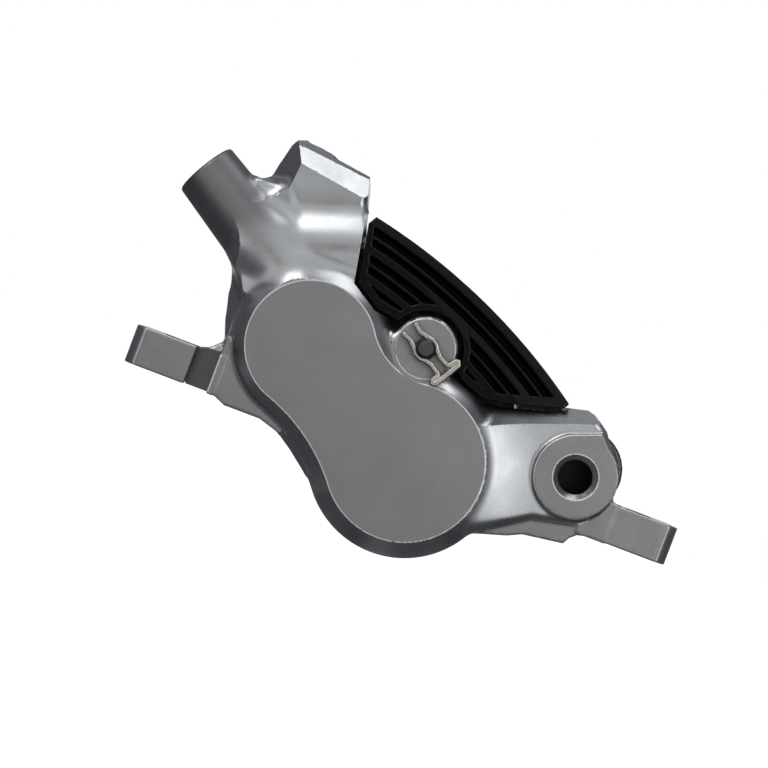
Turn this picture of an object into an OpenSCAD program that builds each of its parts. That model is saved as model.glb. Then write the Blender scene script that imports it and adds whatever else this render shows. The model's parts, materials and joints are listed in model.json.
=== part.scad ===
// Four-piston disc brake caliper for a bicycle, in millimetres.
// X runs along the two mounting posts, Z points away from them, Y runs away from the rider's side.
// The origin is midway between the mounting slots, on the ears' seating faces and in their mid-plane.

/* [Mounting] */

// Distance between the two mounting slots
post_spacing = 74.2; // [74.0:0.1:74.6]
// Thickness of the ears, from seating face to bolt head face
ear_t = 6; // [5.6:0.1:6.4]
// Width of the ears across the mounting line
ear_w = 13.5; // [13.1:0.1:13.7]
// Width of the mounting slots, for M6 bolts
slot_w = 6.4; // [6.2:0.1:6.8]
// Length of the mounting slots, end to end
slot_len = 9.8; // [9.0:0.1:10.2]
// Distance of the rotor's mid-plane behind the mounting line
rotor_y = 10; // [9.8:0.1:10.4]

/* [Pistons] */

// Distance between the large and the small piston
piston_pitch = 22.6; // [22.4:0.1:23.2]
// Diameter of the large pistons
large_d = 18; // [17.6:0.1:18.2]
// Diameter of the small pistons
small_d = 16; // [15.6:0.1:16.2]
// Radial clearance of a piston in its bore
bore_fit = 0.05; // [0.02:0.01:0.09]
// Length of each piston
piston_len = 9.6; // [9.0:0.1:9.8]
// Wall of the cup-shaped pistons
piston_wall = 2.2; // [1.8:0.1:2.8]
// Side of the square-section piston seals
seal_side = 1.9; // [1.6:0.1:2.0]

/* [Body] */

// Distance from the rotor's mid-plane to the outer face of each half
half_depth = 19; // [18.8:0.1:19.6]
// Radius of the outer face around the large piston
large_face_r = 12.14; // [11.9:0.02:12.4]
// Radius of the outer face around the small piston
small_face_r = 9.96; // [9.8:0.02:10.2]
// How far the side walls stand out beyond the outer face
wall_flare = 2.8; // [2.5:0.1:3.1]
// Radius of the hose port boss
port_boss_r = 6.45; // [6.2:0.05:6.7]
// Radius of the bleed tube at its free end
tube_r = 4.95; // [4.7:0.05:5.2]
// Free length of the bleed tube from the small piston's axis
tube_reach = 31.5; // [30:0.5:33]

/* [Pads] */

// Thickness of the rotor that the caliper is made for
rotor_t = 1.8; // [1.6:0.1:1.9]
// Gap between rotor and friction material with the brake released
rotor_gap = 0.3; // [0.2:0.05:0.4]
// Thickness of the friction material
friction_t = 2.0; // [1.8:0.1:2.1]
// Thickness of the steel backplates
backplate_t = 1.8; // [1.6:0.1:1.9]
// Gap between a pad and the body around it
pad_gap = 0.5; // [0.35:0.05:0.6]
// Thickness of the cooling ribs
rib_t = 1.15; // [0.9:0.05:1.3]
// Distance from one cooling rib to the next
rib_pitch = 2.35; // [2.2:0.05:2.5]

/* [Axle and clip] */

// Diameter of the pad axle
axle_d = 3.2; // [3.0:0.1:3.4]
// Radial clearance of the pad axle in its holes
axle_fit = 0.05; // [0.03:0.01:0.08]
// Diameter of the snap retainer's wire
wire_d = 0.66; // [0.6:0.02:0.72]

/* [Ports and bolts] */

// Thread diameter of the hose port
port_thread_d = 5.3; // [5.0:0.1:5.6]
// Thread diameter of the two body bolts
bolt_d = 6; // [5.8:0.1:6.2]

/* [Hidden] */

tilt = 30.15;
mid_x = -8.33;
mid_z = 6.5;
small_x = -piston_pitch / 2;
large_x = piston_pitch / 2;
small_r = small_d / 2;
large_r = large_d / 2;
axle_r = axle_d / 2;
axle_z = 13.2;
rotor_r = 90;
rotor_cz = axle_z - 1.2 - rotor_r;
ear_tip = post_spacing / 2 + 7;
plate_y = -ear_w / 2;
face_y = rotor_y - half_depth;
friction_y = rotor_y - rotor_t / 2 - rotor_gap - friction_t;
back_y = friction_y - backplate_t;
piston_front = back_y - 0.1;
pocket_y = back_y - 2;
bore_end = piston_front - piston_len - 0.5;
seal_y = pocket_y - 3.4;
lip_y = rotor_y - rotor_t / 2 - 0.95;
waist_r = 28;
waist_a = waist_r + small_face_r;
waist_b = waist_r + large_face_r;
waist_x = (waist_a * waist_a - waist_b * waist_b) / (2 * piston_pitch);
waist_z = -sqrt(waist_a * waist_a - pow(waist_x - small_x, 2));
fin_cx = 11.2;
fin_cz = -71.6;
fin_r = 97;
fin_front = -6.3;
fin_floor = -2.2;
boss_r = 5.5;
boss_y = face_y + 0.8;
groove_y = face_y - 0.42;
groove_r = 1.16;
tube_y = face_y + 6.4;
tube_z = 4.6;
pad_half = 19.4;
pad_low = -9.6;
pad_top = 19.5;
fin_left = -pad_half - 0.9;
fin_right = pad_half + 1.0;
rivet_x = 9;
rivet_z = pad_top - 2.5;
leaf_half = pad_half - 0.5;
bolt_l = [-28.0, 36.4];
bolt_r = [28.8, 9.2];
cross_p = [-24.6, 14.2];
port_p = [26.4, 7.8];
port_y = face_y + 1;
port_end = 0.6;
arm_y = face_y + 2.6;
block_y = face_y + 2.4;

// Frame of the pistons: X through both piston axes, Z out through the pad axle
module piston_frame() {
    translate([mid_x, 0, mid_z]) rotate([0, tilt, 0]) children();
}

// The same shape on the other side of the rotor
module other_side() {
    translate([0, 2 * rotor_y, 0]) mirror([0, 1, 0]) children();
}

// Outline in X and Z, made solid between two Y values
module slab(y0, y1) {
    translate([0, y1, 0]) rotate([90, 0, 0]) linear_extrude(height = y1 - y0) children();
}

// Outline in Y and Z, made solid between two X values
module bar_x(x0, x1) {
    translate([x0, 0, 0]) rotate([90, 0, 90]) linear_extrude(height = x1 - x0) children();
}

// Round bar along Y
module rod_y(r, y0, y1, n = 48) {
    translate([0, y0, 0]) rotate([-90, 0, 0]) cylinder(r = r, h = y1 - y0, $fn = n);
}

// Round bar along X
module rod_x(r0, r1, x0, x1, n = 48) {
    translate([x0, 0, 0]) rotate([0, 90, 0]) cylinder(r1 = r0, r2 = r1, h = x1 - x0, $fn = n);
}

// Profile of radius and Y value turned about the Y axis
module turned(pts, n = 64) {
    rotate([-90, 0, 0]) rotate_extrude($fn = n) polygon(pts);
}

// Side wall of a half: flat face with a fine rim, then a rounded shoulder that flares out
function wall_out(r, s) = [
    [r - 0.3 * s, face_y],
    [r, face_y + 0.25],
    [r + 0.34 * s * wall_flare, face_y + 0.75],
    [r + 0.62 * s * wall_flare, face_y + 1.7],
    [r + 0.82 * s * wall_flare, face_y + 3.0],
    [r + 0.95 * s * wall_flare, face_y + 4.5],
    [r + s * wall_flare, face_y + 6.2]
];

module lobe(r) {
    turned(concat([[0, face_y]], wall_out(r, 1), [[r + wall_flare, rotor_y], [0, rotor_y]]), 72);
}

// Bean-shaped piston housing with a tangent hollow waist on its inner side
module bean() {
    a = waist_r + small_face_r;
    b = waist_r + large_face_r;
    ux = (waist_x - small_x) / a;
    uz = waist_z / a;
    vx = (waist_x - large_x) / b;
    vz = waist_z / b;
    translate([small_x, 0, 0]) lobe(small_face_r);
    translate([large_x, 0, 0]) lobe(large_face_r);
    difference() {
        slab(face_y, rotor_y) polygon([
            [small_x, 0],
            [small_x + ux * (small_face_r + wall_flare), uz * (small_face_r + wall_flare)],
            [large_x + vx * (large_face_r + wall_flare), vz * (large_face_r + wall_flare)],
            [large_x, 0],
            [large_x - 7.6, 9.4],
            [large_x - 13, 8.9],
            [small_x + 4.45, 8.9]
        ]);
        translate([waist_x, 0, waist_z]) turned(concat(
            [[0, face_y - 1], [waist_r + 0.3, face_y - 1]],
            wall_out(waist_r, -1),
            [[waist_r - wall_flare, rotor_y + 1], [0, rotor_y + 1]]), 200);
    }
}

// Outline of the cooling fins, grown by a margin on its body sides
module fin_outline(g) {
    difference() {
        intersection() {
            translate([fin_cx, fin_cz]) circle(r = fin_r + g, $fn = 240);
            polygon([
                [fin_left - g, 40],
                [fin_right + g, 40],
                [fin_right + g, 23.9 - g],
                [13.9 + g, 17.2 - g],
                [11.4 + g * 0.6, 15.3 - g],
                [8.1, 14.6 - g],
                [5.6, 14.8 - g],
                [-6.3, 12.6 - g],
                [-9.4, 11.4 - g],
                [-14.2 - g * 0.7, 11.6 - g],
                [fin_left - g, 18.6 - g * 0.6]
            ]);
        }
        translate([0, axle_z]) circle(r = boss_r + pad_gap - g, $fn = 64);
    }
}

// Window in the body for the fins, open to the outside
module fin_window() {
    g = pad_gap;
    difference() {
        polygon([
            [fin_left - 1.2 - g * 0.4, 60],
            [fin_left - 1.2 - g * 0.4, pad_top],
            [fin_left - g, 18.6 - g * 0.6],
            [-14.2 - g * 0.7, 11.6 - g],
            [-9.4, 11.4 - g],
            [-6.3, 12.6 - g],
            [-5.4, 12.9 - g],
            [5.4, 14.6 - g],
            [8.1, 14.6 - g],
            [11.4 + g * 0.6, 15.3 - g],
            [13.9 + g, 17.2 - g],
            [fin_right + g, 23.9 - g],
            [fin_right + g, 60]
        ]);
        translate([0, axle_z]) circle(r = boss_r, $fn = 64);
    }
}

// Everything that the rotor, the pads and the pistons need, taken out of a half
module pad_space() {
    g = pad_gap;
    piston_frame() {
        slab(pocket_y, rotor_y + 1) polygon([
            [-pad_half - g, pad_low - g + 2],
            [-pad_half - g, 60],
            [pad_half + g, 60],
            [pad_half + g, pad_low - g + 2],
            [pad_half + g - 2, pad_low - g],
            [-pad_half - g + 2, pad_low - g]
        ]);
        slab(face_y - 4, friction_y) fin_window();
        translate([0, 0, rotor_cz]) rod_y(rotor_r + 1.6, lip_y, rotor_y + 1, 360);
        translate([small_x, 0, 0]) piston_bore(small_r);
        translate([large_x, 0, 0]) piston_bore(large_r);
        translate([small_x, 0, 0]) rod_y(1.1, bore_end - 1.6, bore_end + 1, 24);
        translate([0, 0, axle_z]) rod_y(axle_r + axle_fit, face_y - 1, rotor_y, 32);
    }
}

// Blind bore with its seal groove and a fluid chamber below the piston
module piston_bore(r) {
    turned([
        [0, bore_end],
        [r - 1.4, bore_end],
        [r - 0.8, bore_end + 0.5],
        [r + bore_fit, bore_end + 0.9],
        [r + bore_fit, seal_y],
        [r + bore_fit + seal_side, seal_y],
        [r + bore_fit + seal_side, seal_y + seal_side],
        [r + bore_fit, seal_y + seal_side],
        [r + bore_fit, pocket_y - 0.5],
        [r + bore_fit + 0.4, pocket_y],
        [r + bore_fit + 0.4, friction_y],
        [0, friction_y]
    ], 72);
}

// Boss that holds the pad axle, dished around a raised disc
module axle_boss() {
    translate([0, 0, axle_z]) rod_y(boss_r, boss_y + 0.7, pocket_y, 64);
    translate([0, 0, axle_z]) turned([
        [0, boss_y],
        [4.1, boss_y],
        [4.3, boss_y + 0.2],
        [4.3, pocket_y],
        [0, pocket_y]
    ], 64);
}

module axle_dish() {
    translate([0, 0, axle_z]) turned([
        [4.3, face_y - 1],
        [6.35, face_y - 1],
        [6.35, face_y],
        [6.1, face_y + 0.25],
        [5.7, face_y + 1.0],
        [5.1, face_y + 1.5],
        [4.3, face_y + 1.5]
    ], 72);
    translate([0, 0, axle_z]) rod_y(4.4, face_y - 1, boss_y, 64);
}

// Left bridge and bolt block above the small piston
module block_outline() {
    polygon([
        [-34.9, 33.3],
        [-33.3, 34.6],
        [-32.4, 38.2],
        [-31.9, 40.0],
        [-31.2, 41.1],
        [-30.0, 41.7],
        [-28.4, 41.5],
        [-19.5, 39.6],
        [-18.9, 38.8],
        [-17.3, 33.9],
        [-14.0, 22.0],
        [-18.0, 14.0],
        [-31.0, 16.0],
        [-33.6, 20.6]
    ]);
}

// Right bridge and arm between the large piston and the hose port
module arm_outline() {
    polygon([
        [4.0, 10.0],
        [9.0, 13.9],
        [12.2, 14.4],
        [21.6, 17.2],
        [25.0, 18.0],
        [26.2, 17.6],
        [28.6, 15.9],
        [31.6, 11.6],
        [32.4, 8.0],
        [31.6, 4.0],
        [28.8, 1.0],
        [22.4, -0.4],
        [14.0, -6.0],
        [6.0, -2.0]
    ]);
}

module outboard_solid() {
    piston_frame() bean();
    piston_frame() axle_boss();
    // bolt block with a flat bright bevel along its top edge
    difference() {
        slab(block_y, rotor_y) block_outline();
        translate([-24, 0, 38]) rotate([0, 9, 0]) bar_x(-14, 14) polygon([
            [block_y - 1.0, -2.8],
            [block_y + 5.0, 4.2],
            [block_y - 1.0, 9]
        ]);
        translate([-24, 0, 38]) rotate([0, 10, 0]) bar_x(-14, 14) polygon([
            [block_y - 0.6, -3.6],
            [block_y + 0.9, -1.0],
            [block_y - 0.6, 3]
        ]);
        // hollow beside the bevel that runs down to the tube
        translate([-36.4, block_y - 3.6, 39.0]) rotate([0, -24, 0])
            cylinder(r = 6.2, h = 40, center = true, $fn = 64);
    }
    // arm scooped between the large piston and the port
    difference() {
        slab(arm_y, rotor_y) arm_outline();
        piston_frame() translate([20.6, arm_y - 13.2, 0]) cylinder(r = 15, h = 90, center = true, $fn = 96);
    }
    // hose port boss with its flat top edge and corner
    translate([port_p[0], 0, port_p[1]]) turned([
        [0, port_y],
        [port_boss_r - 0.3, port_y],
        [port_boss_r, port_y + 0.3],
        [port_boss_r, rotor_y],
        [0, rotor_y]
    ], 64);
    slab(port_y + 0.15, rotor_y) polygon([
        [port_p[0], port_p[1]],
        [port_p[0] - 2.3, port_p[1] + 6.0],
        [port_p[0] + 1.5, port_p[1] + 7.5],
        [port_p[0] + 4.9, port_p[1] + 3.9],
        [port_p[0] + 6.2, port_p[1] + 1.0]
    ]);
    // bleed tube with a slight draft and a fine rounded rim
    piston_frame() translate([0, tube_y, tube_z]) {
        rod_x(tube_r, 5.35, small_x - tube_reach + 0.4, small_x - 9, 64);
        rod_x(tube_r - 0.4, tube_r, small_x - tube_reach, small_x - tube_reach + 0.4, 64);
    }
    // web between the tube and the block
    slab(tube_y - 2.6, rotor_y) polygon([
        [-34.6, 21.4],
        [-36.2, 27.0],
        [-35.1, 33.4],
        [-30.0, 34.0],
        [-22.0, 22.0],
        [-30.0, 17.0]
    ]);
    // round boss around the thread of the right body bolt
    translate([bolt_r[0], 0, bolt_r[1]]) rod_y(4.9, rotor_y - 9, rotor_y, 48);
    mount_plate();
    ears();
}

// Flange that joins both ears to the housing
module mount_plate() {
    slab(plate_y, ear_w / 2) polygon([
        [-30.45, 0],
        [-29.2, -0.1],
        [-28.2, -0.5],
        [-27.3, -0.9],
        [-21.5, -0.9],
        [-18.5, -1.8],
        [-15.5, -3.8],
        [-11.9, -6.6],
        [-6.0, -7.0],
        [-12.0, 12.0],
        [-27.0, 14.5],
        [-29.4, 12.0],
        [-30.45, 9.4]
    ]);
    slab(plate_y, ear_w / 2) polygon([
        [14.0, -6.0],
        [19.9, -4.2],
        [22.0, -3.2],
        [28.3, -2.3],
        [28.9, -1.2],
        [29.8, -0.4],
        [30.9, 0],
        [34.0, 0],
        [34.0, ear_t],
        [33.2, ear_t + 0.4],
        [32.0, ear_t + 2.0],
        [28.0, 10.0],
        [14.0, 6.0]
    ]);
    // ramp that rises from the left ear into the housing, behind the groove
    slab(plate_y + 2.6, ear_w / 2) difference() {
        polygon([
            [-34.0, ear_t - 0.2],
            [-34.0, ear_t + 0.1],
            [-30.2, ear_t + 3.6],
            [-28.0, 14.0],
            [-26.0, ear_t - 0.2]
        ]);
        translate([-35.6, ear_t + 6.4]) circle(r = 6.45, $fn = 64);
    }
}

// Mounting ears with rounded tips; the left one has a cross groove in its near face
module ears() {
    intersection() {
        union() {
            translate([-ear_tip, plate_y, 0]) cube([ear_tip - 29, ear_w, ear_t]);
            translate([31, plate_y, 0]) cube([ear_tip - 31, ear_w, ear_t]);
        }
        translate([0, 0, -1]) linear_extrude(height = ear_t + 2) union() {
            square([2 * ear_tip - 5, ear_w], center = true);
            square([2 * ear_tip, ear_w - 5], center = true);
            for (x = [-1, 1], y = [-1, 1])
                translate([x * (ear_tip - 2.5), y * (ear_w / 2 - 2.5)]) circle(r = 2.5, $fn = 32);
        }
    }
}

// Long slots across the mounting line, so that the caliper can be centred over the rotor
module mount_slots() {
    half = (slot_len - slot_w) / 2;
    for (s = [-1, 1]) translate([s * post_spacing / 2, 0, -1]) {
        translate([-slot_w / 2, -half, 0]) cube([slot_w, 2 * half, ear_t + 2]);
        translate([0, -half, 0]) cylinder(r = slot_w / 2, h = ear_t + 2, $fn = 48);
        translate([0, half, 0]) cylinder(r = slot_w / 2, h = ear_t + 2, $fn = 48);
    }
}

module outboard_half() {
    color([0.55, 0.55, 0.56]) difference() {
        outboard_solid();
        piston_frame() axle_dish();
        pad_space();
        mount_slots();
        // cross groove of the left ear
        translate([-34.35, plate_y - 1, -1]) cube([3.9, 3.4, ear_t + 9]);
        // hose port: chamfer, thread and fluid feed
        translate([port_p[0], 0, port_p[1]]) turned([
            [0, port_y - 1],
            [3.45 + 0.8, port_y - 1],
            [port_thread_d / 2, port_y + 0.8],
            [port_thread_d / 2, port_end],
            [1.8, port_end + 0.5],
            [0, port_end + 0.5]
        ], 48);
        port_feed();
        // bleed bore along the tube, wide at its mouth for the bleed screw
        piston_frame() translate([0, tube_y, tube_z]) {
            rod_x(1.0, 1.0, small_x - tube_reach + 8, large_x - 3, 24);
            rod_x(2.5, 2.5, small_x - tube_reach + 3, small_x - tube_reach + 12, 32);
            rod_x(2.5, 1.0, small_x - tube_reach + 12, small_x - tube_reach + 13.55, 32);
            rod_x(3.6, 3.3, small_x - tube_reach - 1, small_x - tube_reach + 3.01, 32);
        }
        // threads of the body bolts
        translate([bolt_l[0], 0, bolt_l[1]]) rod_y(bolt_d / 2, rotor_y - 7.5, rotor_y + 1, 40);
        translate([bolt_r[0], 0, bolt_r[1]]) rod_y(bolt_d / 2, rotor_y - 7.5, rotor_y + 1, 40);
        crossover();
    }
}

// Straight drilling from one point to another
module drill(a, b, r) {
    v = b - a;
    translate(a) rotate([0, acos(v[2] / norm(v)), atan2(v[1], v[0])]) cylinder(r = r, h = norm(v), $fn = 24);
}

// Slanted drilling from the large bore to the port, and its plug hole in the body's right end
module port_feed() {
    piston_frame() translate([large_x, bore_end + 1.8, 0]) rotate([0, -45.7, 0]) {
        rod_x(1.1, 1.1, 6, 30, 24);
        rod_x(1.6, 1.6, 29, 40, 24);
    }
}

// Fluid path to the other half: half of the ring groove, and a slanted drilling to the small bore
module crossover() {
    piston_frame() {
        translate([cross_p[0], 0, cross_p[1]]) rod_y(2.6, rotor_y - 0.8, rotor_y + 1, 32);
        drill([cross_p[0], rotor_y, cross_p[1]], [-16.2, bore_end + 0.8, 5.1], 0.9);
    }
}

module inboard_solid() {
    other_side() {
        piston_frame() bean();
        slab(block_y + 2.2, rotor_y) polygon([
            [-31.8, 40.0],
            [-31.2, 41.0],
            [-30.0, 41.6],
            [-28.4, 41.5],
            [-19.9, 39.2],
            [-17.5, 33.9],
            [-14.0, 22.0],
            [-18.0, 14.0],
            [-30.0, 17.0],
            [-33.0, 30.0]
        ]);
        slab(arm_y + 2.0, rotor_y) polygon([
            [4.0, 10.0],
            [9.0, 13.9],
            [12.2, 14.4],
            [21.6, 17.2],
            [25.0, 17.8],
            [30.7, 15.5],
            [32.2, 6.0],
            [27.0, 0.8],
            [14.0, -5.0],
            [6.0, -2.0]
        ]);
        piston_frame() axle_boss();
    }
    // round bosses under the two bolt heads
    translate([bolt_l[0], 0, bolt_l[1]]) rod_y(6.1, rotor_y, rotor_y + 13, 64);
    translate([bolt_r[0], 0, bolt_r[1]]) rod_y(6.6, rotor_y, rotor_y + 13, 64);
}

module inboard_half() {
    color([0.32, 0.32, 0.34]) difference() {
        inboard_solid();
        other_side() {
            pad_space();
            piston_frame() axle_dish();
            crossover();
            // link between the two bores, drilled from the left end and plugged there
            piston_frame() translate([0, tube_y, tube_z]) {
                rod_x(1.0, 1.0, small_x - 14, large_x - 3, 24);
                rod_x(1.6, 1.6, small_x - 16, small_x - 9.9, 24);
            }
        }
        // the axle's head sits in a counterbore
        piston_frame() translate([0, 0, axle_z]) rod_y(2.9, 2 * rotor_y - boss_y - 2.4, 2 * rotor_y - face_y + 1, 40);
        for (p = [bolt_l, bolt_r]) translate([p[0], 0, p[1]]) {
            rod_y(bolt_d / 2 + 0.25, rotor_y - 1, rotor_y + 14, 40);
            rod_y(5.2, rotor_y + 11, rotor_y + 30, 48);
        }
    }
}

// Two socket-head bolts, put in from the inboard side
module body_bolts() {
    color([0.25, 0.25, 0.27]) for (p = [bolt_l, bolt_r]) translate([p[0], 0, p[1]]) difference() {
        turned([
            [0, rotor_y - 7],
            [bolt_d / 2 - 0.5, rotor_y - 7],
            [bolt_d / 2, rotor_y - 6.5],
            [bolt_d / 2, rotor_y + 11],
            [4.9, rotor_y + 11],
            [4.9, rotor_y + 16.4],
            [4.5, rotor_y + 16.9],
            [0, rotor_y + 16.9]
        ], 40);
        translate([0, rotor_y + 13.6, 0]) rotate([-90, 0, 0]) cylinder(r = 2.6, h = 4, $fn = 6);
    }
}

// Rubber ring that seals the fluid path at the joint face
module crossover_ring() {
    color([0.1, 0.1, 0.1]) piston_frame() translate([cross_p[0], 0, cross_p[1]]) turned([
        [1.3, rotor_y - 0.8],
        [2.6, rotor_y - 0.8],
        [2.6, rotor_y + 0.8],
        [1.3, rotor_y + 0.8]
    ], 40);
}

// Pressed plugs that close the two drillings from outside, one in each half
module passage_plugs() {
    color([0.6, 0.6, 0.62]) {
        piston_frame() translate([large_x, bore_end + 1.8, 0]) rotate([0, -45.7, 0]) rod_x(1.6, 1.6, 29, 31, 24);
        other_side() piston_frame() translate([0, tube_y, tube_z]) rod_x(1.6, 1.6, small_x - 11.9, small_x - 9.9, 24);
    }
}

module piston(r) {
    turned([
        [0, piston_front - piston_len],
        [r - 1.0, piston_front - piston_len],
        [r, piston_front - piston_len + 0.9],
        [r, piston_front - 0.3],
        [r - 0.3, piston_front],
        [r - piston_wall, piston_front],
        [r - piston_wall, piston_front - piston_len + 3.4],
        [r - piston_wall - 1, piston_front - piston_len + 2.4],
        [0, piston_front - piston_len + 2.4]
    ], 72);
}

module seal(r) {
    turned([
        [r + bore_fit - 0.02, seal_y + 0.02],
        [r + bore_fit + seal_side - 0.02, seal_y + 0.02],
        [r + bore_fit + seal_side - 0.02, seal_y + seal_side - 0.02],
        [r + bore_fit - 0.02, seal_y + seal_side - 0.02]
    ], 72);
}

module outboard_large_piston() {
    color([0.85, 0.84, 0.8]) piston_frame() translate([large_x, 0, 0]) piston(large_r);
}

module outboard_small_piston() {
    color([0.85, 0.84, 0.8]) piston_frame() translate([small_x, 0, 0]) piston(small_r);
}

module inboard_large_piston() {
    color([0.85, 0.84, 0.8]) other_side() piston_frame() translate([large_x, 0, 0]) piston(large_r);
}

module inboard_small_piston() {
    color([0.85, 0.84, 0.8]) other_side() piston_frame() translate([small_x, 0, 0]) piston(small_r);
}

module outboard_large_seal() {
    color([0.1, 0.1, 0.1]) piston_frame() translate([large_x, 0, 0]) seal(large_r);
}

module outboard_small_seal() {
    color([0.1, 0.1, 0.1]) piston_frame() translate([small_x, 0, 0]) seal(small_r);
}

module inboard_large_seal() {
    color([0.1, 0.1, 0.1]) other_side() piston_frame() translate([large_x, 0, 0]) seal(large_r);
}

module inboard_small_seal() {
    color([0.1, 0.1, 0.1]) other_side() piston_frame() translate([small_x, 0, 0]) seal(small_r);
}

// Steel backplate with the axle's hole in its upper part
module backplate() {
    difference() {
        slab(back_y, friction_y) polygon([
            [-pad_half, pad_low + 3],
            [-pad_half + 2.2, pad_low],
            [pad_half - 2.2, pad_low],
            [pad_half, pad_low + 3],
            [pad_half, pad_top - 4.5],
            [pad_half - 4.2, pad_top],
            [-pad_half + 4.2, pad_top],
            [-pad_half, pad_top - 4.5]
        ]);
        translate([0, 0, axle_z]) rod_y(axle_r + axle_fit, back_y - 1, friction_y + 1, 32);
        for (x = [-rivet_x, rivet_x]) translate([x, 0, rivet_z]) rod_y(1.2, back_y - 1, friction_y + 1, 32);
    }
}

// Moulded friction material with a dust groove across its middle
module friction() {
    difference() {
        slab(friction_y, friction_y + friction_t) polygon([
            [-pad_half + 2, pad_low + 4],
            [-pad_half + 4, pad_low + 1.2],
            [pad_half - 4, pad_low + 1.2],
            [pad_half - 2, pad_low + 4],
            [pad_half - 2.4, axle_z - 5.6],
            [pad_half - 3.4, axle_z - 4.6],
            [-pad_half + 3.4, axle_z - 4.6],
            [-pad_half + 2.4, axle_z - 5.6]
        ]);
        slab(friction_y + friction_t - 1.1, friction_y + friction_t + 1) polygon([
            [-0.7, -20],
            [0.7, -20],
            [0.7, 20],
            [-0.7, 20]
        ]);
    }
}

// Cooling block: base, border walls and arched ribs cut around the axle boss
module fins() {
    difference() {
        slab(fin_front + 0.3, back_y) fin_outline(0);
        // channels between the ribs, following the outer arc
        slab(fin_front - 1, fin_floor) intersection() {
            union() {
                for (i = [0:3]) difference() {
                    translate([fin_cx, fin_cz]) circle(r = fin_r - rib_t - i * rib_pitch, $fn = 240);
                    translate([fin_cx, fin_cz]) circle(r = fin_r - (i + 1) * rib_pitch, $fn = 240);
                }
            }
            polygon([
                [fin_left + 1.1, 18.6],
                [fin_left + 1.1, 40],
                [fin_right + 1.6, 40],
                [fin_right - 1.5, 24.6],
                [12.6, 17.9],
                [10.6, 16.6],
                [8.0, 15.9],
                [-6.3, 14.2],
                [-10.0, 12.8],
                [-13.7, 12.9]
            ]);
        }
        // slope that lowers the ribs a little towards the outer arc
        bar_x(-30, 30) polygon([
            [fin_front - 1, 19],
            [fin_front + 0.3, 19],
            [fin_front + 1.3, 27],
            [fin_front - 1, 27]
        ]);
        for (x = [-rivet_x, rivet_x]) translate([x, 0, rivet_z]) rod_y(1.2, fin_floor - 0.01, back_y + 1, 32);
    }
}

module rivets() {
    for (x = [-rivet_x, rivet_x]) translate([x, 0, rivet_z]) turned([
        [0, fin_floor],
        [1.2, fin_floor],
        [1.2, friction_y],
        [0, friction_y]
    ], 32);
}

module outboard_backplate() {
    color([0.45, 0.4, 0.35]) piston_frame() backplate();
}

module outboard_friction() {
    color([0.35, 0.28, 0.22]) piston_frame() friction();
}

module outboard_fins() {
    color([0.04, 0.04, 0.045]) piston_frame() fins();
}

module outboard_rivets() {
    color([0.3, 0.3, 0.3]) piston_frame() rivets();
}

module inboard_backplate() {
    color([0.45, 0.4, 0.35]) other_side() piston_frame() backplate();
}

module inboard_friction() {
    color([0.35, 0.28, 0.22]) other_side() piston_frame() friction();
}

module inboard_fins() {
    color([0.04, 0.04, 0.045]) other_side() piston_frame() fins();
}

module inboard_rivets() {
    color([0.3, 0.3, 0.3]) other_side() piston_frame() rivets();
}

// One leaf of the pad spring, lying beside the friction material
module spring_leaf() {
    t = 0.4;
    y0 = friction_y + 0.15;
    difference() {
        slab(y0, y0 + t) union() {
            translate([-7, 10.2]) square([14, 7.0]);
            translate([-leaf_half, axle_z - 3.8]) square([2 * leaf_half, 1.6]);
            translate([-leaf_half, -3]) square([1.1, 14]);
            translate([leaf_half - 1.1, -3]) square([1.1, 14]);
        }
        translate([0, 0, axle_z]) rod_y(axle_r + axle_fit, y0 - 1, y0 + 1, 32);
    }
}

// Formed sheet-steel spring that pushes the two pads apart
module pad_spring() {
    y0 = friction_y + 0.15;
    color([0.62, 0.62, 0.6]) piston_frame() {
        spring_leaf();
        other_side() spring_leaf();
        for (x = [-6.6, 3.2]) translate([x, y0, 16.8]) cube([3.4, 2 * (rotor_y - y0), 0.4]);
    }
}

// Pad axle: grooved near end for the retainer, screw head on the inboard side
module pad_axle() {
    head = 2 * rotor_y - boss_y - 2.4;
    color([0.5, 0.5, 0.52]) piston_frame() translate([0, 0, axle_z]) difference() {
        turned([
            [0, groove_y - 0.95],
            [1.1, groove_y - 0.95],
            [axle_r - 0.05, groove_y - 0.42],
            [groove_r, groove_y - 0.38],
            [groove_r, groove_y + 0.38],
            [axle_r, groove_y + 0.6],
            [axle_r, head],
            [2.7, head],
            [2.7, head + 2.0],
            [2.4, head + 2.3],
            [0, head + 2.3]
        ], 40);
        translate([-0.4, head + 1.3, -4]) cube([0.8, 3, 8]);
    }
}

function unit(v) = v / norm(v);
function bend_of(u, v) = atan2(u[0] * v[1] - u[1] * v[0], u * v);

// Round wire along a path in the XY plane, with every corner bent to the same radius
module bent_wire(path, r, bend) {
    n = len(path);
    dirs = [for (i = [0:n - 2]) unit(path[i + 1] - path[i])];
    cuts = [for (i = [0:n - 1]) i == 0 || i == n - 1 ? 0 : bend * tan(abs(bend_of(dirs[i - 1], dirs[i])) / 2)];
    for (i = [0:n - 2]) {
        a = path[i] + dirs[i] * cuts[i];
        b = path[i + 1] - dirs[i] * cuts[i + 1];
        translate([a[0], a[1], 0]) rotate([0, 0, atan2(dirs[i][1], dirs[i][0])]) rotate([0, 90, 0])
            cylinder(r = r, h = norm(b - a), $fn = 24);
    }
    for (i = [1:n - 2]) {
        ang = bend_of(dirs[i - 1], dirs[i]);
        start = path[i] - dirs[i - 1] * cuts[i];
        c = start + [-dirs[i - 1][1], dirs[i - 1][0]] * sign(ang) * bend;
        from = atan2(start[1] - c[1], start[0] - c[0]);
        translate([c[0], c[1], 0]) rotate([0, 0, ang > 0 ? from : from + ang])
            rotate_extrude(angle = abs(ang), $fn = 64) translate([bend, 0]) circle(r = r, $fn = 24);
    }
}

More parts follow.
